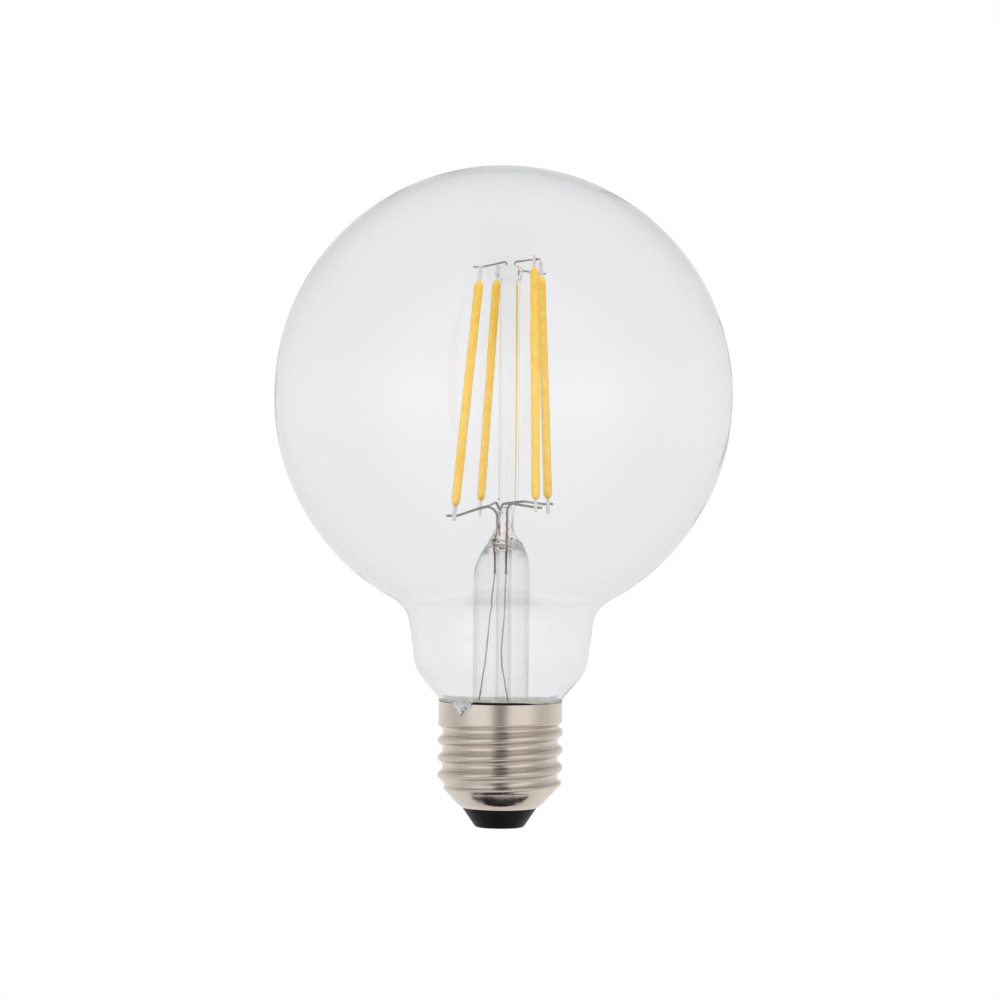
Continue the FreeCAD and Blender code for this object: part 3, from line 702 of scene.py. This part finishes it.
def make_cap_foot(lathe):
    """Black glass insulator and the contact plate let into its foot."""
    slope = math.tan(math.radians(bowl_angle))
    neck = lip_radius - shell_wall / math.cos(math.radians(bowl_angle)) - 0.1
    stand = low["insulator"].z
    outline = rounded([
        (shank_radius, contact_thickness, 0),
        (contact_radius, contact_thickness, 0),
        (contact_radius, stand, 0.1),
        (insulator_foot, stand, insulator_edge),
        (lip_radius, lip_height, 0.12),
        (neck, lip_height, 0),
        (neck + (insulator_top - lip_height) * slope, insulator_top, 0.2),
        (shank_radius, insulator_top, 0),
        (shank_radius, contact_thickness, 0),
    ], step=9)
    piece = grown("insulator_glass", line_mesh("insulator", [outline]), lathe, cap_glass(), segments=128,
                  waviness=0.05 * MM, wave_size=4 * MM, seed=5.0)
    placed(piece, "black_glass", "insulator")
    # Tinned brass: stamped, satin, and straw-coloured where the tin is thin
    brass = clouded_metal("tinned brass contact", "#A99C82", "#C9BFA8", (0.22, 0.38), 1.5, 0.02)
    outline = rounded([
        (0, 0.0, 0),
        (0.9, 0.02, 0.4),
        (1.3, contact_dish, 0.4),
        (contact_radius, contact_dish, 0.15),
        (contact_radius, contact_thickness, 0),
        (shank_radius, contact_thickness, 0),
        (shank_radius, shank_top, 0.1),
        (0, shank_top, 0),
    ], step=9)
    piece = grown("contact_plate", line_mesh("contact", [outline]), lathe, brass, segments=96,
                  waviness=0.02 * MM, wave_size=2 * MM, seed=7.0)
    placed(piece, "contact_brass", "centre_contact", "contact_solder")


def make_cement():
    """Cement between collar and skirt, wiped into an uneven lip that stands off the rim in front."""
    outside = skirt_radius - shell_wall - 0.05
    rim = rim_height
    bottom = rim - cement_depth
    glass = collar_radius + 0.08
    neck = skirt_radius - shell_wall - rim_gap
    lean = math.tan(math.radians(shoulder_angle))
    turns = [360 * i / cement_columns for i in range(cement_columns)]
    columns = []
    for turn in turns:
        gap = rim_lift * ramp(turn, 240, 246) * ramp(turn, 315, 285)
        wave = 0.3 * noise.noise(polar(2.5, turn)) + 0.14 * noise.noise(polar(8, turn))
        behind = ramp(turn, 10, 40) * ramp(turn, 170, 140)
        top = gap + max(cement_rise - 0.32 * behind + wave * (1 - 0.6 * behind), 0.04)
        lip = cement_lip + 0.1 * noise.noise(polar(6, turn, 3.0))
        # Up the skirt, out under the lip, over it and down the glass
        outline = [
            (glass, bottom), (outside, bottom), (outside, rim - 0.35), (neck + 0.06, rim - 0.05),
            (neck + 0.08 + gap * lean, rim + gap * 0.95), (neck + lip + gap * lean * 0.6, rim + gap + 0.06),
            (neck + lip + top * 0.35, rim + gap * 0.5 + top * 0.6), (neck + top * lean + 0.16, rim + top),
            (neck + top * lean + 0.03, rim + top - 0.03), (neck, rim - 0.1), (glass, rim - 1.9),
        ]
        columns.append([polar(r, turn, z) for r, z in outline])
    mesh = bmesh.new()
    lofted(mesh, [list(ring) for ring in zip(*columns)], looped=True)
    bmesh.ops.recalc_face_normals(mesh, faces=mesh.faces)
    # Basing cement: chalky grey-green, darker in clouds and nearly black where the rim shades it
    cement = clouded_solid("basing cement", "#DCE0D2", "#F8FAF4", 0.6, 1.1, 0.08, stain_or_shade=("shade", "#0C0B09"))
    piece = skinned("cement_fillet", mesh, cement)
    # Painted shade: near black in the slot under the lip where it stands off the rim in front; the lip's edge
    # and top are darkened in patches
    shade = []
    for row in range(len(columns[0])):
        if row in (3, 4):
            shade += [ramp(turn, 240, 243) * ramp(turn, 318, 296) for turn in turns]
        elif row in (5, 6, 7):
            shade += [0.55 + 0.35 * noise.noise(polar(5, turn, row)) for turn in turns]
        else:
            shade += [0.0] * cement_columns
    mark(piece.data, "shade", shade)
    return placed(piece, "cement", "cement_ring")


def make_side_solder():
    """Solder run over the rim where the neutral wire leaves the cap: a drop with flat, creased sides."""
    # Place along the rim, height from it and how far the corners stand out
    edge = [(-3.0, 0.15, 0.1), (-1.4, 0.3, 0.15), (0.5, 0.35, 0.2), (1.9, 0.25, 0.15), (2.3, -0.4, 0.02),
            (1.5, -1.1, 0.02), (0.3, -1.8, 0.02), (-0.5, -2.6, 0.05), (-1.8, -1.2, 0.02)]
    creases = [(-1.9, -0.35, 0.75), (-1.1, -0.75, 0.5), (0.45, -0.15, 0.85), (0.95, -0.75, 0.25),
               (1.6, -0.3, 0.7), (-0.5, -1.9, 0.75)]
    # Place, reach and depth of the brown spots at the tip, edges and folds: part flux, part painted shade
    flux_and_shade_spots = [((-0.5, -2.6), 0.6, 0.9), ((-1.8, -1.2), 0.35, 0.6), ((0.95, -0.75), 0.4, 0.6),
              ((0.3, -1.8), 0.35, 0.5), ((2.3, -0.4), 0.3, 0.5)]
    spot_core = 0.15
    flat = [Vector(point[:2]) for point in edge + creases]
    ring = [(i, (i + 1) % len(edge)) for i in range(len(edge))]
    facets = geometry.delaunay_2d_cdt(flat, ring, [], 1, 1e-4)[2]
    mesh = bmesh.new()
    skins = []
    for front in (True, False):
        skins.append([])
        for along, rise, out in edge + creases:
            turn = solder_angle + math.degrees(along / skirt_radius)
            corner = polar(skirt_radius + (out if front else -solder_root), turn, rim_height + rise)
            skins[-1].append(mesh.verts.new(corner * MM))
    for facet in facets:
        mesh.faces.new([skins[0][i] for i in facet])
        mesh.faces.new([skins[1][i] for i in facet[::-1]])
    for i, j in ring:
        mesh.faces.new((skins[0][i], skins[0][j], skins[1][j], skins[1][i]))
    bmesh.ops.recalc_face_normals(mesh, faces=mesh.faces)
    bmesh.ops.bevel(mesh, geom=mesh.edges, offset=solder_crease * MM, segments=2, affect="EDGES", profile=0.5)
    bmesh.ops.recalc_face_normals(mesh, faces=mesh.faces)
    # Solder cooled in the air: bright creased metal, browned at its tip, folds and edges by flux and by
    # painted shade
    solder = clouded_metal("cooled solder", "#F6F5F4", "#FFFFFE", (0.08, 0.2), 0.7, 0.03, ("flux_and_shade", "#4A443F"))
    piece = skinned("side_solder_drop", mesh, solder)
    middle = polar(skirt_radius, solder_angle, rim_height) * MM
    across = polar(1.0, solder_angle + 90)
    # Brown at the tip, edges and folds: part flux, part painted shade
    flux_and_shade = []
    for vertex in piece.data.vertices:
        away = (vertex.co - middle) / MM
        spot = Vector((away.dot(across), away.z))
        flux_and_shade.append(max(depth * ramp((spot - Vector(place)).length, reach, spot_core)
                        for place, reach, depth in flux_and_shade_spots))
    mark(piece.data, "flux_and_shade", flux_and_shade)
    return placed(piece, "solder", "side_solder")


# Stem: sections down the pillar, press and flare, then up the inside and down the exhaust tube
def section(height, across, along, square=2.0, shift=0.0, count=72):
    """Ring of points at a height; the long way of the press is turned a little from the line of sight."""
    ring = []
    for i in range(count):
        turn = 2 * math.pi * i / count
        x = math.copysign(abs(math.cos(turn)) ** (2 / square), math.cos(turn)) * across
        y = math.copysign(abs(math.sin(turn)) ** (2 / square), math.sin(turn)) * along
        ring.append(Matrix.Rotation(math.radians(press_turn), 3, "Z") @ Vector((x, y, height))
                    + Vector((shift, 0, 0)))
    return ring


def smooth_keys(keys, count):
    """Rows of numbers between key rows, on a smooth curve through them."""
    rows = []
    for i in range(len(keys) - 1):
        a, b, c, d = (keys[min(max(i + k, 0), len(keys) - 1)] for k in (-1, 0, 1, 2))
        for j in range(count):
            t = j / count
            rows.append([0.5 * (2 * q + (r - p) * t + (2 * p - 5 * q + 4 * r - s) * t * t
                                + (3 * q - p - 3 * r + s) * t ** 3) for p, q, r, s in zip(a, b, c, d)])
    return rows + [list(keys[-1])]


def make_stem():
    """Pillar, press, dome, flare and exhaust tube in one body of glass, with the tube's bore and hole."""
    head = rounded([
        (0.02, pillar_top, 0),
        (pillar_head_radius, pillar_top, 1.2),
        (pillar_head_radius, pillar_top - pillar_head_height + 0.6, 0.4),
        (pillar_radius, pillar_top - pillar_head_height - 0.2, 0.5),
        (pillar_radius, press_top + 1.6, 0),
    ], step=10)
    rings = [section(z, r, r, shift=pillar_offset) for r, z in divided(head, 4.0)]
    # Level from the press top, half thickness, half width, squareness and shift of the press and dome
    press = [
        (1.6, 2.1, 2.1, 2.0, 1.2), (0.6, 2.0, 2.3, 2.0, 1.05), (-0.4, 1.8, 2.8, 2.3, 0.75),
        (-1.4, 1.7, 3.2, 2.8, 0.52), (-3.0, 1.7, 3.3, 2.8, 0.48), (-4.2, 1.8, 3.4, 2.6, 0.45),
        (-5.2, 2.2, 3.7, 2.3, 0.4), (-6.3, 2.9, 4.2, 2.1, 0.42), (-7.5, 3.7, 4.7, 2.0, 0.5),
        (-9.0, 4.6, 5.2, 2.0, 0.45), (-10.6, 5.25, 5.55, 2.0, 0.3), (-12.4, 5.65, 5.75, 2.0, 0.1),
        (-13.8, 5.8, 5.8, 2.0, 0.0),
    ]
    for level, across, along, square, shift in smooth_keys(press, 4)[1:]:
        lumps = 0.28 * ramp(level, 0.6, -1.5) * ramp(level, -9.5, -7.0)
        ring = section(press_top + level, across, along, square, shift)
        rings.append([dented(point, size=1.3, depth=lumps, seed=4.0) for point in ring])
    skin = sum(len(ring) for ring in rings)
    rim = neck_bore - 0.06
    mouth = rounded([
        (flare_radius, flare_top, 0),
        (flare_radius, seal_height + flare_edge + rim - flare_radius, flare_round),
        (rim, seal_height + flare_edge, 0),
        (rim, seal_height + 0.05, 0),
        (flare_bore, seal_height + rim - flare_bore, flare_round - 0.9),
        (flare_bore, flare_top, 0),
    ])
    rings += [section(z, r, r) for r, z in divided(mouth, 5.0)]
    # Level from the press top, radius and shift of the hollow under the dome
    bore = [(-15.0, 4.95, 0.0), (-12.8, 4.9, 0.05), (-11.0, 4.55, 0.2), (-9.4, 3.95, 0.35),
            (-8.3, 3.15, 0.42), (-7.6, 2.35, 0.45), (-7.9, 1.78, 0.45), (-9.2, 1.6, 0.45)]
    rings += [section(press_top + level, r, r, shift=shift) for level, r, shift in smooth_keys(bore, 4)[1:]]
    tube = rounded([
        (exhaust_radius, press_top - 10.2, 0),
        (exhaust_radius, exhaust_tip, 1.4),
        (0.05, exhaust_tip, 0),
    ])
    rings += [section(z, r, r, shift=exhaust_shift) for r, z in divided(tube, 5.0)]
    mesh = bmesh.new()
    lofted(mesh, rings)
    bmesh.ops.recalc_face_normals(mesh, faces=mesh.faces)
    shell_faces = set(mesh.faces)
    hollow = rounded([
        (0.05, exhaust_end, 0),
        (exhaust_bore, exhaust_end, 0.6),
        (exhaust_bore, exhaust_tip + exhaust_tip_wall, 0.8),
        (0.05, exhaust_tip + exhaust_tip_wall, 0),
    ], step=10)
    lofted(mesh, [section(z, r, r, shift=exhaust_shift, count=40) for r, z in divided(hollow, 5.0)])
    # The exhaust hole leads from the tube to the side of the dome
    start = Vector((0, 0, press_top - 7.5))
    way = polar(3.4, exhaust_hole_angle, press_top - 6.4) - start
    wide = up.cross(way).normalized()
    tall = way.cross(wide).normalized() * exhaust_hole_flat
    root = 0.9
    hole = rounded([(0.02, root, 0), (exhaust_hole / 2, root, 0.3), (exhaust_hole / 2, way.length, 0.5),
                    (0.02, way.length, 0)], step=15)
    clear = len(mesh.verts)
    lofted(mesh, [[start + way.normalized() * z + wide * point.x + tall * point.y
                   for point in section(0, r, r, count=24)] for r, z in hole])
    voids = [face for face in mesh.faces if face not in shell_faces]
    bmesh.ops.recalc_face_normals(mesh, faces=voids)
    bmesh.ops.reverse_faces(mesh, faces=voids)
    piece = skinned("stem_glass", mesh, stem_glass())
    ends = [(vert.co / MM - start).dot(way) / way.length_squared for vert in piece.data.vertices]
    # Painted shade fills the outer end of the exhaust hole
    painted_shade = [ramp(end, 0.55, 0.7) if i >= clear else 0.0 for i, end in enumerate(ends)]
    # Painted shade, in patches, on the sides of the press and the shoulders of the dome
    for vert in piece.data.vertices[:skin]:
        level = vert.co.z / MM - press_top
        shade_patches = 0.55 + 0.9 * noise.noise(vert.co / MM * 0.9)
        press_side = ramp(abs(vert.normal.x), 0.45, 0.9) * ramp(level, 0.3, -1.0) * ramp(level, -10.5, -9.0)
        painted_shade[vert.index] = press_shade_depth * press_side * max(shade_patches, 0.0)
    mark(piece.data, "painted_shade", painted_shade)
    return placed(piece, "stem_glass", "stem_flare", "exhaust_tube", "pillar")


# Filament sticks: each has its own frame, foot at the lower end of the coating
class Stick:
    def __init__(self, foot_turn, head_turn, lift, foot_grip, head_grip, overlap):
        foot = pillar_axis + polar(foot_radius, foot_turn)
        head = pillar_axis + polar(head_radius, head_turn)
        rise = math.sqrt(filament_length ** 2 - (head - foot).length ** 2)
        self.foot = foot + up * (light_centre + lift - rise / 2)
        self.head = head + up * (light_centre + lift + rise / 2)
        self.axis = (self.head - self.foot).normalized()
        self.overlap = overlap
        self.outward = polar(1, (foot_turn + head_turn) / 2)
        side = self.axis.cross(self.outward).normalized()
        self.side = side if side.y > 0 else -side
        gap = (lead_wire + tab_thickness) / 2
        self.foot_weld = self.foot - self.axis * foot_grip + self.side * gap
        self.head_weld = self.head + self.axis * head_grip + self.side * gap


def make_sticks(sticks):
    """Phosphor-coated sticks with round ends and the metal tabs cast into them."""
    tree = stick_tree()
    # Phosphor in silicone: cast, satin and egg yellow, with paler clouds, a soft depth and a faint painted
    # glow
    phosphor = clouded_solid("phosphor in silicone", "#FFC636", "#FFDA70", 0.5, 1.6, 0.05, glow=0.28)
    # Tinned tab: stamped, matt and nearly white
    metal = clouded_solid("matt tinned tab", "#E4DCDA", "#F4EFED", 0.4, 1.0, 0.02)
    rounding = [0.0, 0.05, 0.15, 0.3, 0.5, 0.75, 1.05, filament_end]
    for number, (name, stick) in enumerate(sticks.items()):
        coat = filament_length + 2 * stick.overlap
        straight, last = coat - 2 * filament_straight, filament_rows - 1
        runs = rounding + [filament_straight + straight * i / last for i in range(filament_rows)]
        runs += [coat - run for run in rounding[::-1]]
        ends = [min(run, coat - run, filament_end) / filament_end for run in runs]
        widths = [max(math.sqrt(1 - (1 - end) ** 2), 0.3) for end in ends]
        line = [stick.foot + stick.axis * (run - stick.overlap) for run in runs]
        line = line_mesh(name, [line], size=widths)
        piece = grown("coating_" + name, line, tree, phosphor, width=filament_width * MM,
                      thickness=filament_thickness * MM, edge=filament_edge * MM, face=stick.side,
                      waviness=0.1 * MM, wave_size=3 * MM, seed=20.0 + number)
        placed(piece, "phosphor", "filament_" + name)
        tabs = {"foot_tab": (stick.foot, -stick.axis), "head_tab": (stick.head, stick.axis)}
        for end, (place, way) in tabs.items():
            line = [place + way * run for run in (-tab_root, 0.0, 1.0, 2.0, 3.0, tab_length)]
            line = line_mesh(end, [line], size=[1.0] * len(line))
            piece = grown(end + "_metal_" + name, line, tree, metal,
                          width=tab_width * MM, thickness=tab_thickness * MM, edge=0.06 * MM, face=stick.side,
                          waviness=0.03 * MM, wave_size=2 * MM, seed=30.0 + number)
            placed(piece, "tab_metal", end + "_" + name)


def make_wires(sticks):
    """Leads, branches and links inside the globe, each bent from round wire."""
    tree = wire_tree()
    # Drawn wires, satin and faintly clouded: plated iron is mid grey, tinned copper paler, nickel palest
    iron = clouded_metal("nickel-plated iron wire", "#94938D", "#BBBAB3", (0.24, 0.4), 0.9, 0.02)
    bright = clouded_metal("bright nickel wire", "#BDBBB8", "#DDDBD7", (0.27, 0.43), 0.9, 0.02)
    tinned = clouded_metal("tinned copper wire", "#B2B2AB", "#D4D3CC", (0.22, 0.38), 0.9, 0.02)
    copper = sealed_copper()
    front_left, rear_left = sticks["front_left"], sticks["rear_left"]
    front_right, rear_right = sticks["front_right"], sticks["rear_right"]

    def to_tab(stick):
        return [stick.foot_weld - stick.outward * arm_run, stick.foot_weld + stick.outward * arm_overhang]

    def lead(place, stick):
        return [place + up * (press_top - dumet_top), place + up * (press_top + arm_rise), *to_tab(stick)]

    def branch(corners, stick):
        points = [corners[0] - up * branch_root, *corners]
        return [point + up * press_top for point in points] + to_tab(stick)

    def hook(stick, middle):
        weld, outward = stick.head_weld, stick.outward
        return [weld + outward * arm_overhang, weld - outward * link_run, *middle]

    def outer(knot, sway, pad):
        start = knot + up * (press_top - dumet_bottom)
        mouth = seal_height + neck_bore - flare_bore + flare_round / 2
        end = Vector((pad, board_face - outer_wire / 2, pad_height))
        points = [start]
        points += [Vector((x, y, start.z + (mouth - start.z) * share)) for share, x, y in sway]
        return points + [end + up * pad_rise, end]

    dip = pillar_axis - Vector((0, link_depth, 0))
    half = Vector((link_dip_width / 2, 0, 0))
    rail = up * (pillar_top + link_rise)
    hooks = [hook(stick, [dip + half * side * link_spread + rail, dip + half * side + rail - up * link_dip])
             for stick, side in ((front_left, -1), (front_right, 1))]
    level = (rear_left.head_weld.z + rear_right.head_weld.z) / 2 + link_rise
    passing = pillar_axis + Vector((0, link_depth, level))
    across = hook(rear_left, [passing - half]) + hook(rear_right, [passing + half])[::-1]
    knots = {"left": knot_left, "right": knot_right}
    seals = {side: [knots[side] + up * (press_top - dumet_bottom), place + up * (press_top - dumet_top)]
             for side, place in (("left", lead_left), ("right", lead_right))}
    routes = {
        "inner_lead_left": ([lead(lead_left, front_left)], lead_wire, lead_bend_left, iron, "lead_wire"),
        "inner_lead_right": ([lead(lead_right, front_right)], lead_wire, lead_bend_right, iron, "lead_wire"),
        "branch_wire_left": ([branch(branch_left, rear_left)], lead_wire, wire_bend, iron, "lead_wire"),
        "branch_wire_right": ([branch(branch_right, rear_right)], lead_wire, wire_bend, iron, "lead_wire"),
        "top_link_front": (hooks, link_wire, link_bend, bright, "nickel_wire"),
        "top_link_rear": ([across], link_wire, link_bend, bright, "nickel_wire"),
        "dumet_left": ([seals["left"]], dumet_wire, wire_bend, copper, "dumet"),
        "dumet_right": ([seals["right"]], dumet_wire, wire_bend, copper, "dumet"),
        "outer_lead_left": ([outer(knot_left, sway_left, left_pad)], outer_wire, sway_bend, tinned,
                            "lead_wire"),
        "outer_lead_right": ([outer(knot_right, sway_right, right_pad)], outer_wire, sway_bend, tinned,
                             "lead_wire"),
    }
    for number, (name, (lines, diameter, bend, metal, slot)) in enumerate(routes.items()):
        piece = grown(name + "_wire", line_mesh(name, lines), tree, metal, diameter=diameter * MM,
                      bend=bend * MM, waviness=0.06 * MM, wave_size=4 * MM, seed=40.0 + number)
        placed(piece, slot, name)
    welds = [stick.foot_weld for stick in sticks.values()] + [stick.head_weld for stick in sticks.values()]
    welds += [seal[0] for seal in seals.values()]
    spots = line_mesh("welds", [[weld] for weld in welds])
    piece = grown("weld_beads", spots, bead_tree(), iron, diameter=weld_bead * MM,
                  waviness=0.08 * MM, wave_size=0.5 * MM, seed=60.0)
    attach(piece, "root")


def dress_driver():
    """Finishes of the driver parts that keep their own solids in the cap, which hides them."""
    # Plain satin finishes: green board, black mouldings, dark sleeve, grey-blue coat and pale leads
    copper = clouded_metal("tinned copper lead", "#9B8F84", "#C4BAB0", (0.22, 0.38), 0.8, 0.01)
    finishes = {
        "driver_board": clouded_solid("fibreglass board", "#2F5B3C", "#3E7350", 0.4, 2.0, 0.02),
        "bridge_rectifier": clouded_solid("moulded epoxy", "#141416", "#222226", 0.5, 0.3, 0.02),
        "driver_chip": clouded_solid("moulded epoxy chip", "#141416", "#222226", 0.5, 0.3, 0.02),
        "capacitor": clouded_solid("shrunk sleeve", "#1E2530", "#2B3442", 0.35, 2.5, 0.02),
        "fuse_resistor": clouded_solid("baked resistor coat", "#5E7F86", "#789AA0", 0.45, 0.8, 0.03),
        "live_lead": copper,
        "neutral_lead": copper,
    }
    for name, finish in finishes.items():
        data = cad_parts[name].data
        data.materials.clear()
        data.materials.append(finish)


lathe = lathe_tree()
sticks = {name: Stick(*sizes) for name, sizes in filaments.items()}
globe = make_globe(lathe)
globe.visible_shadow = False
make_shell()
make_cap_foot(lathe)
make_cement()
make_side_solder()
stem = make_stem()
stem.visible_shadow = False
make_sticks(sticks)
make_wires(sticks)
dress_driver()


# Stage: floor well below the lamp, lamps, world and camera
floor_drop = 160.0
floor_size = 800.0
view_distance = 1000.0
view_height = 93.0
view_half_width = 103.8
view_centre = Vector((-0.52, 0, 68.1))
view_roll = 0.57
card_width = 15.0
card_sight = 38.0
card_below = -12
card_round = 30
card_round_turns = range(190, 351, 5)
card_round_rows = (-8, 9)
card_ahead = -40
card_ahead_rows = (-6, 34)
lamp_aim = Vector((0, 0, 70))
spread_level = 0.75


# Floor paper: matt and white, with a faint cloud of fibres
def make_floor():
    made, tree, place = new_material("matt white floor paper")
    tone = clouded(tree, place, 3, 3.0, "#F1F1F0", "#F6F6F5")[1]
    close_material(made, {"Base Color": tone, "Roughness": 0.9})
    mesh = bmesh.new()
    bmesh.ops.create_circle(mesh, cap_ends=True, segments=96, radius=floor_size * MM,
                            matrix=Matrix.Translation((0, 0, -floor_drop * MM)))
    floor = skinned("floor", mesh, made)
    floor.visible_glossy = False
    floor.visible_transmission = False


def dark_reflection_card(name, middle, side, width):
    """Near-black card finish that paints dark reflections into the cap, thinner to the sides, and clear for
    all but the cap close by.
    """
    made, tree, place = new_material(name)
    tone = clouded(tree, place, 2, 2.0, "#0A0A0A", "#161616")[1]
    dark_face = node(tree, "ShaderNodeBsdfPrincipled", {"Base Color": tone, "Roughness": 1.0})
    across = calc(tree, "ABSOLUTE", node(tree, "ShaderNodeSeparateXYZ", {0: place}).outputs["X"])
    cover = remap(tree, across, 0.0, width * MM, middle, side, interpolation_type="SMOOTHSTEP")
    run = node(tree, "ShaderNodeLightPath").outputs["Ray Length"]
    cover = calc(tree, "MULTIPLY", cover, calc(tree, "LESS_THAN", run, card_sight * MM))
    clear = node(tree, "ShaderNodeBsdfTransparent")
    soft = node(tree, "ShaderNodeMixShader", {0: cover, 1: clear, 2: dark_face})
    node(tree, "ShaderNodeOutputMaterial", {"Surface": soft})
    return made


def make_cards():
    """Painted reflections: dark cards that only the bright cap mirrors, beneath it, low round it and ahead.
    """
    below = bmesh.new()
    half = [(0, -10.7), (3.8, -10.3), (7.6, -9.1), (11.3, -6.6), (14.6, -3.7), (16.6, -1.0), (13.4, -3.2),
            (10.4, -5.6), (7.8, -6.6), (5.2, -7.1), (2.6, -7.1), (0, -7.0)]
    crescent = half + [(-x, y) for x, y in half[-2:0:-1]]
    below.faces.new([below.verts.new(Vector((x, y, card_below)) * MM) for x, y in crescent])
    around = bmesh.new()
    rows = [[around.verts.new(polar(card_round, turn, z) * MM) for turn in card_round_turns]
            for z in card_round_rows]
    for i in range(len(rows[0]) - 1):
        around.faces.new((rows[0][i], rows[0][i + 1], rows[1][i + 1], rows[1][i]))
    ahead = bmesh.new()
    foot, top = card_ahead_rows
    outline = ((-card_width, foot), (card_width, foot), (card_width, top), (-card_width, top))
    ahead.faces.new([ahead.verts.new(Vector((x, card_ahead, z)) * MM) for x, z in outline])
    cards = {
        "card_below": (below, dark_reflection_card("dark reflection card", 1.0, 1.0, card_width)),
        "card_round": (around, dark_reflection_card("fading dark reflection card", 0.5, 0.0, 2 * card_width)),
        "card_ahead": (ahead, dark_reflection_card("faint dark reflection card", 0.6, 0.0, card_width)),
    }
    for name, (mesh, dark_face) in cards.items():
        card = skinned(name, mesh, dark_face)
        card.visible_camera = False
        card.visible_diffuse = False
        card.visible_transmission = False
        card.visible_shadow = False


def make_lamp(name, place, size, power):
    data = bpy.data.lights.new(name, "AREA")
    data.size = size * MM
    data.energy = power
    lamp = bpy.data.objects.new(name, data)
    lamp.location = Vector(place) * MM
    aim = lamp_aim * MM - lamp.location
    lamp.rotation_euler = aim.to_track_quat("-Z", "Y").to_euler()
    lamp.visible_camera = False
    lamp.visible_transmission = False
    lamp.visible_glossy = False
    bpy.context.scene.collection.objects.link(lamp)


def make_world():
    """White round the lamp for what is seen straight on or through glass; the room for what is reflected."""
    world = bpy.data.worlds.new("studio")
    world.use_nodes = True
    world.cycles.sampling_method = "NONE"
    tree = world.node_tree
    tree.nodes.clear()
    path = node(tree, "ShaderNodeLightPath").outputs
    way = node(tree, "ShaderNodeTexCoord").outputs["Generated"]
    parts = node(tree, "ShaderNodeSeparateXYZ", {0: way}).outputs

    def levels(value, start, end, stops):
        """Brightness along one direction of the room."""
        share = remap(tree, value, start, end)
        band = node(tree, "ShaderNodeValToRGB", {"Fac": share})
        for i, (place, level) in enumerate(stops):
            stop = band.color_ramp.elements[i] if i < 2 else band.color_ramp.elements.new(place)
            stop.position = place
            stop.color = (level, level, level, 1)
        band.color_ramp.interpolation = "CARDINAL"
        return band

    # From behind the lamp to the front, then from below it to above
    room = levels(parts["Y"], 1, -1, [(0, 0.8), (0.06, 0.83), (0.25, 0.77), (0.45, 0.66), (0.65, 0.74),
                                      (0.84, 1.02), (0.93, 1.0), (1, 0.9)])
    tall = levels(parts["Z"], -1, 1, [(0, 0.86), (0.2, 0.82), (0.35, 0.86), (0.5, 0.94), (0.56, 0.93),
                                      (0.68, 0.72), (0.85, 0.56), (1, 0.55)])
    ahead = remap(tree, parts["Y"], 0.3, -0.4)
    top = remap(tree, parts["Z"], 0.02, 0.4, 1.0, 0.78)
    tall = node(tree, "ShaderNodeMix", {0: ahead, 2: top, 3: tall})
    # A dark gap high up straight ahead
    beside = calc(tree, "ABSOLUTE", parts["X"])
    gap = remap(tree, beside, 0.34, 0.08, interpolation_type="SMOOTHSTEP")
    for share in (remap(tree, parts["Z"], 0.3, 0.6), ahead):
        gap = calc(tree, "MULTIPLY", gap, share)
    reflected = room
    for share in (tall, remap(tree, gap, 0.0, 1.0, 1.0, 0.2)):
        reflected = calc(tree, "MULTIPLY", reflected, share)
    bounced = calc(tree, "GREATER_THAN", path["Glossy Depth"], 0.5)
    spread = calc(tree, "GREATER_THAN", path["Diffuse Depth"], 0.5)
    straight = node(tree, "ShaderNodeMix", {0: bounced, 2: 1.0, 3: reflected})
    level = node(tree, "ShaderNodeMix", {0: spread, 2: straight, 3: spread_level})
    light = node(tree, "ShaderNodeBackground", {"Color": (1, 1, 1, 1), "Strength": level})
    node(tree, "ShaderNodeOutputWorld", {"Surface": light})
    bpy.context.scene.world = world


def make_camera():
    data = bpy.data.cameras.new("camera")
    data.angle = 2 * math.atan(view_half_width / view_distance)
    camera = bpy.data.objects.new("camera", data)
    camera.location = Vector((view_centre.x, -view_distance, view_height)) * MM
    aim = (view_centre * MM - camera.location).to_track_quat("-Z", "Y").to_matrix()
    camera.rotation_euler = (aim @ Matrix.Rotation(math.radians(view_roll), 3, "Z")).to_euler()
    bpy.context.scene.collection.objects.link(camera)
    bpy.context.scene.camera = camera


make_floor()
make_cards()
make_lamp("key", place=(-700, -700, 800), size=700, power=9.0)
make_lamp("fill", place=(800, -500, 500), size=700, power=5.0)
make_world()
make_camera()

scene = bpy.context.scene
scene.view_settings.view_transform = "Standard"
scene.cycles.max_bounces = 32
scene.cycles.transmission_bounces = 32
scene.cycles.glossy_bounces = 12
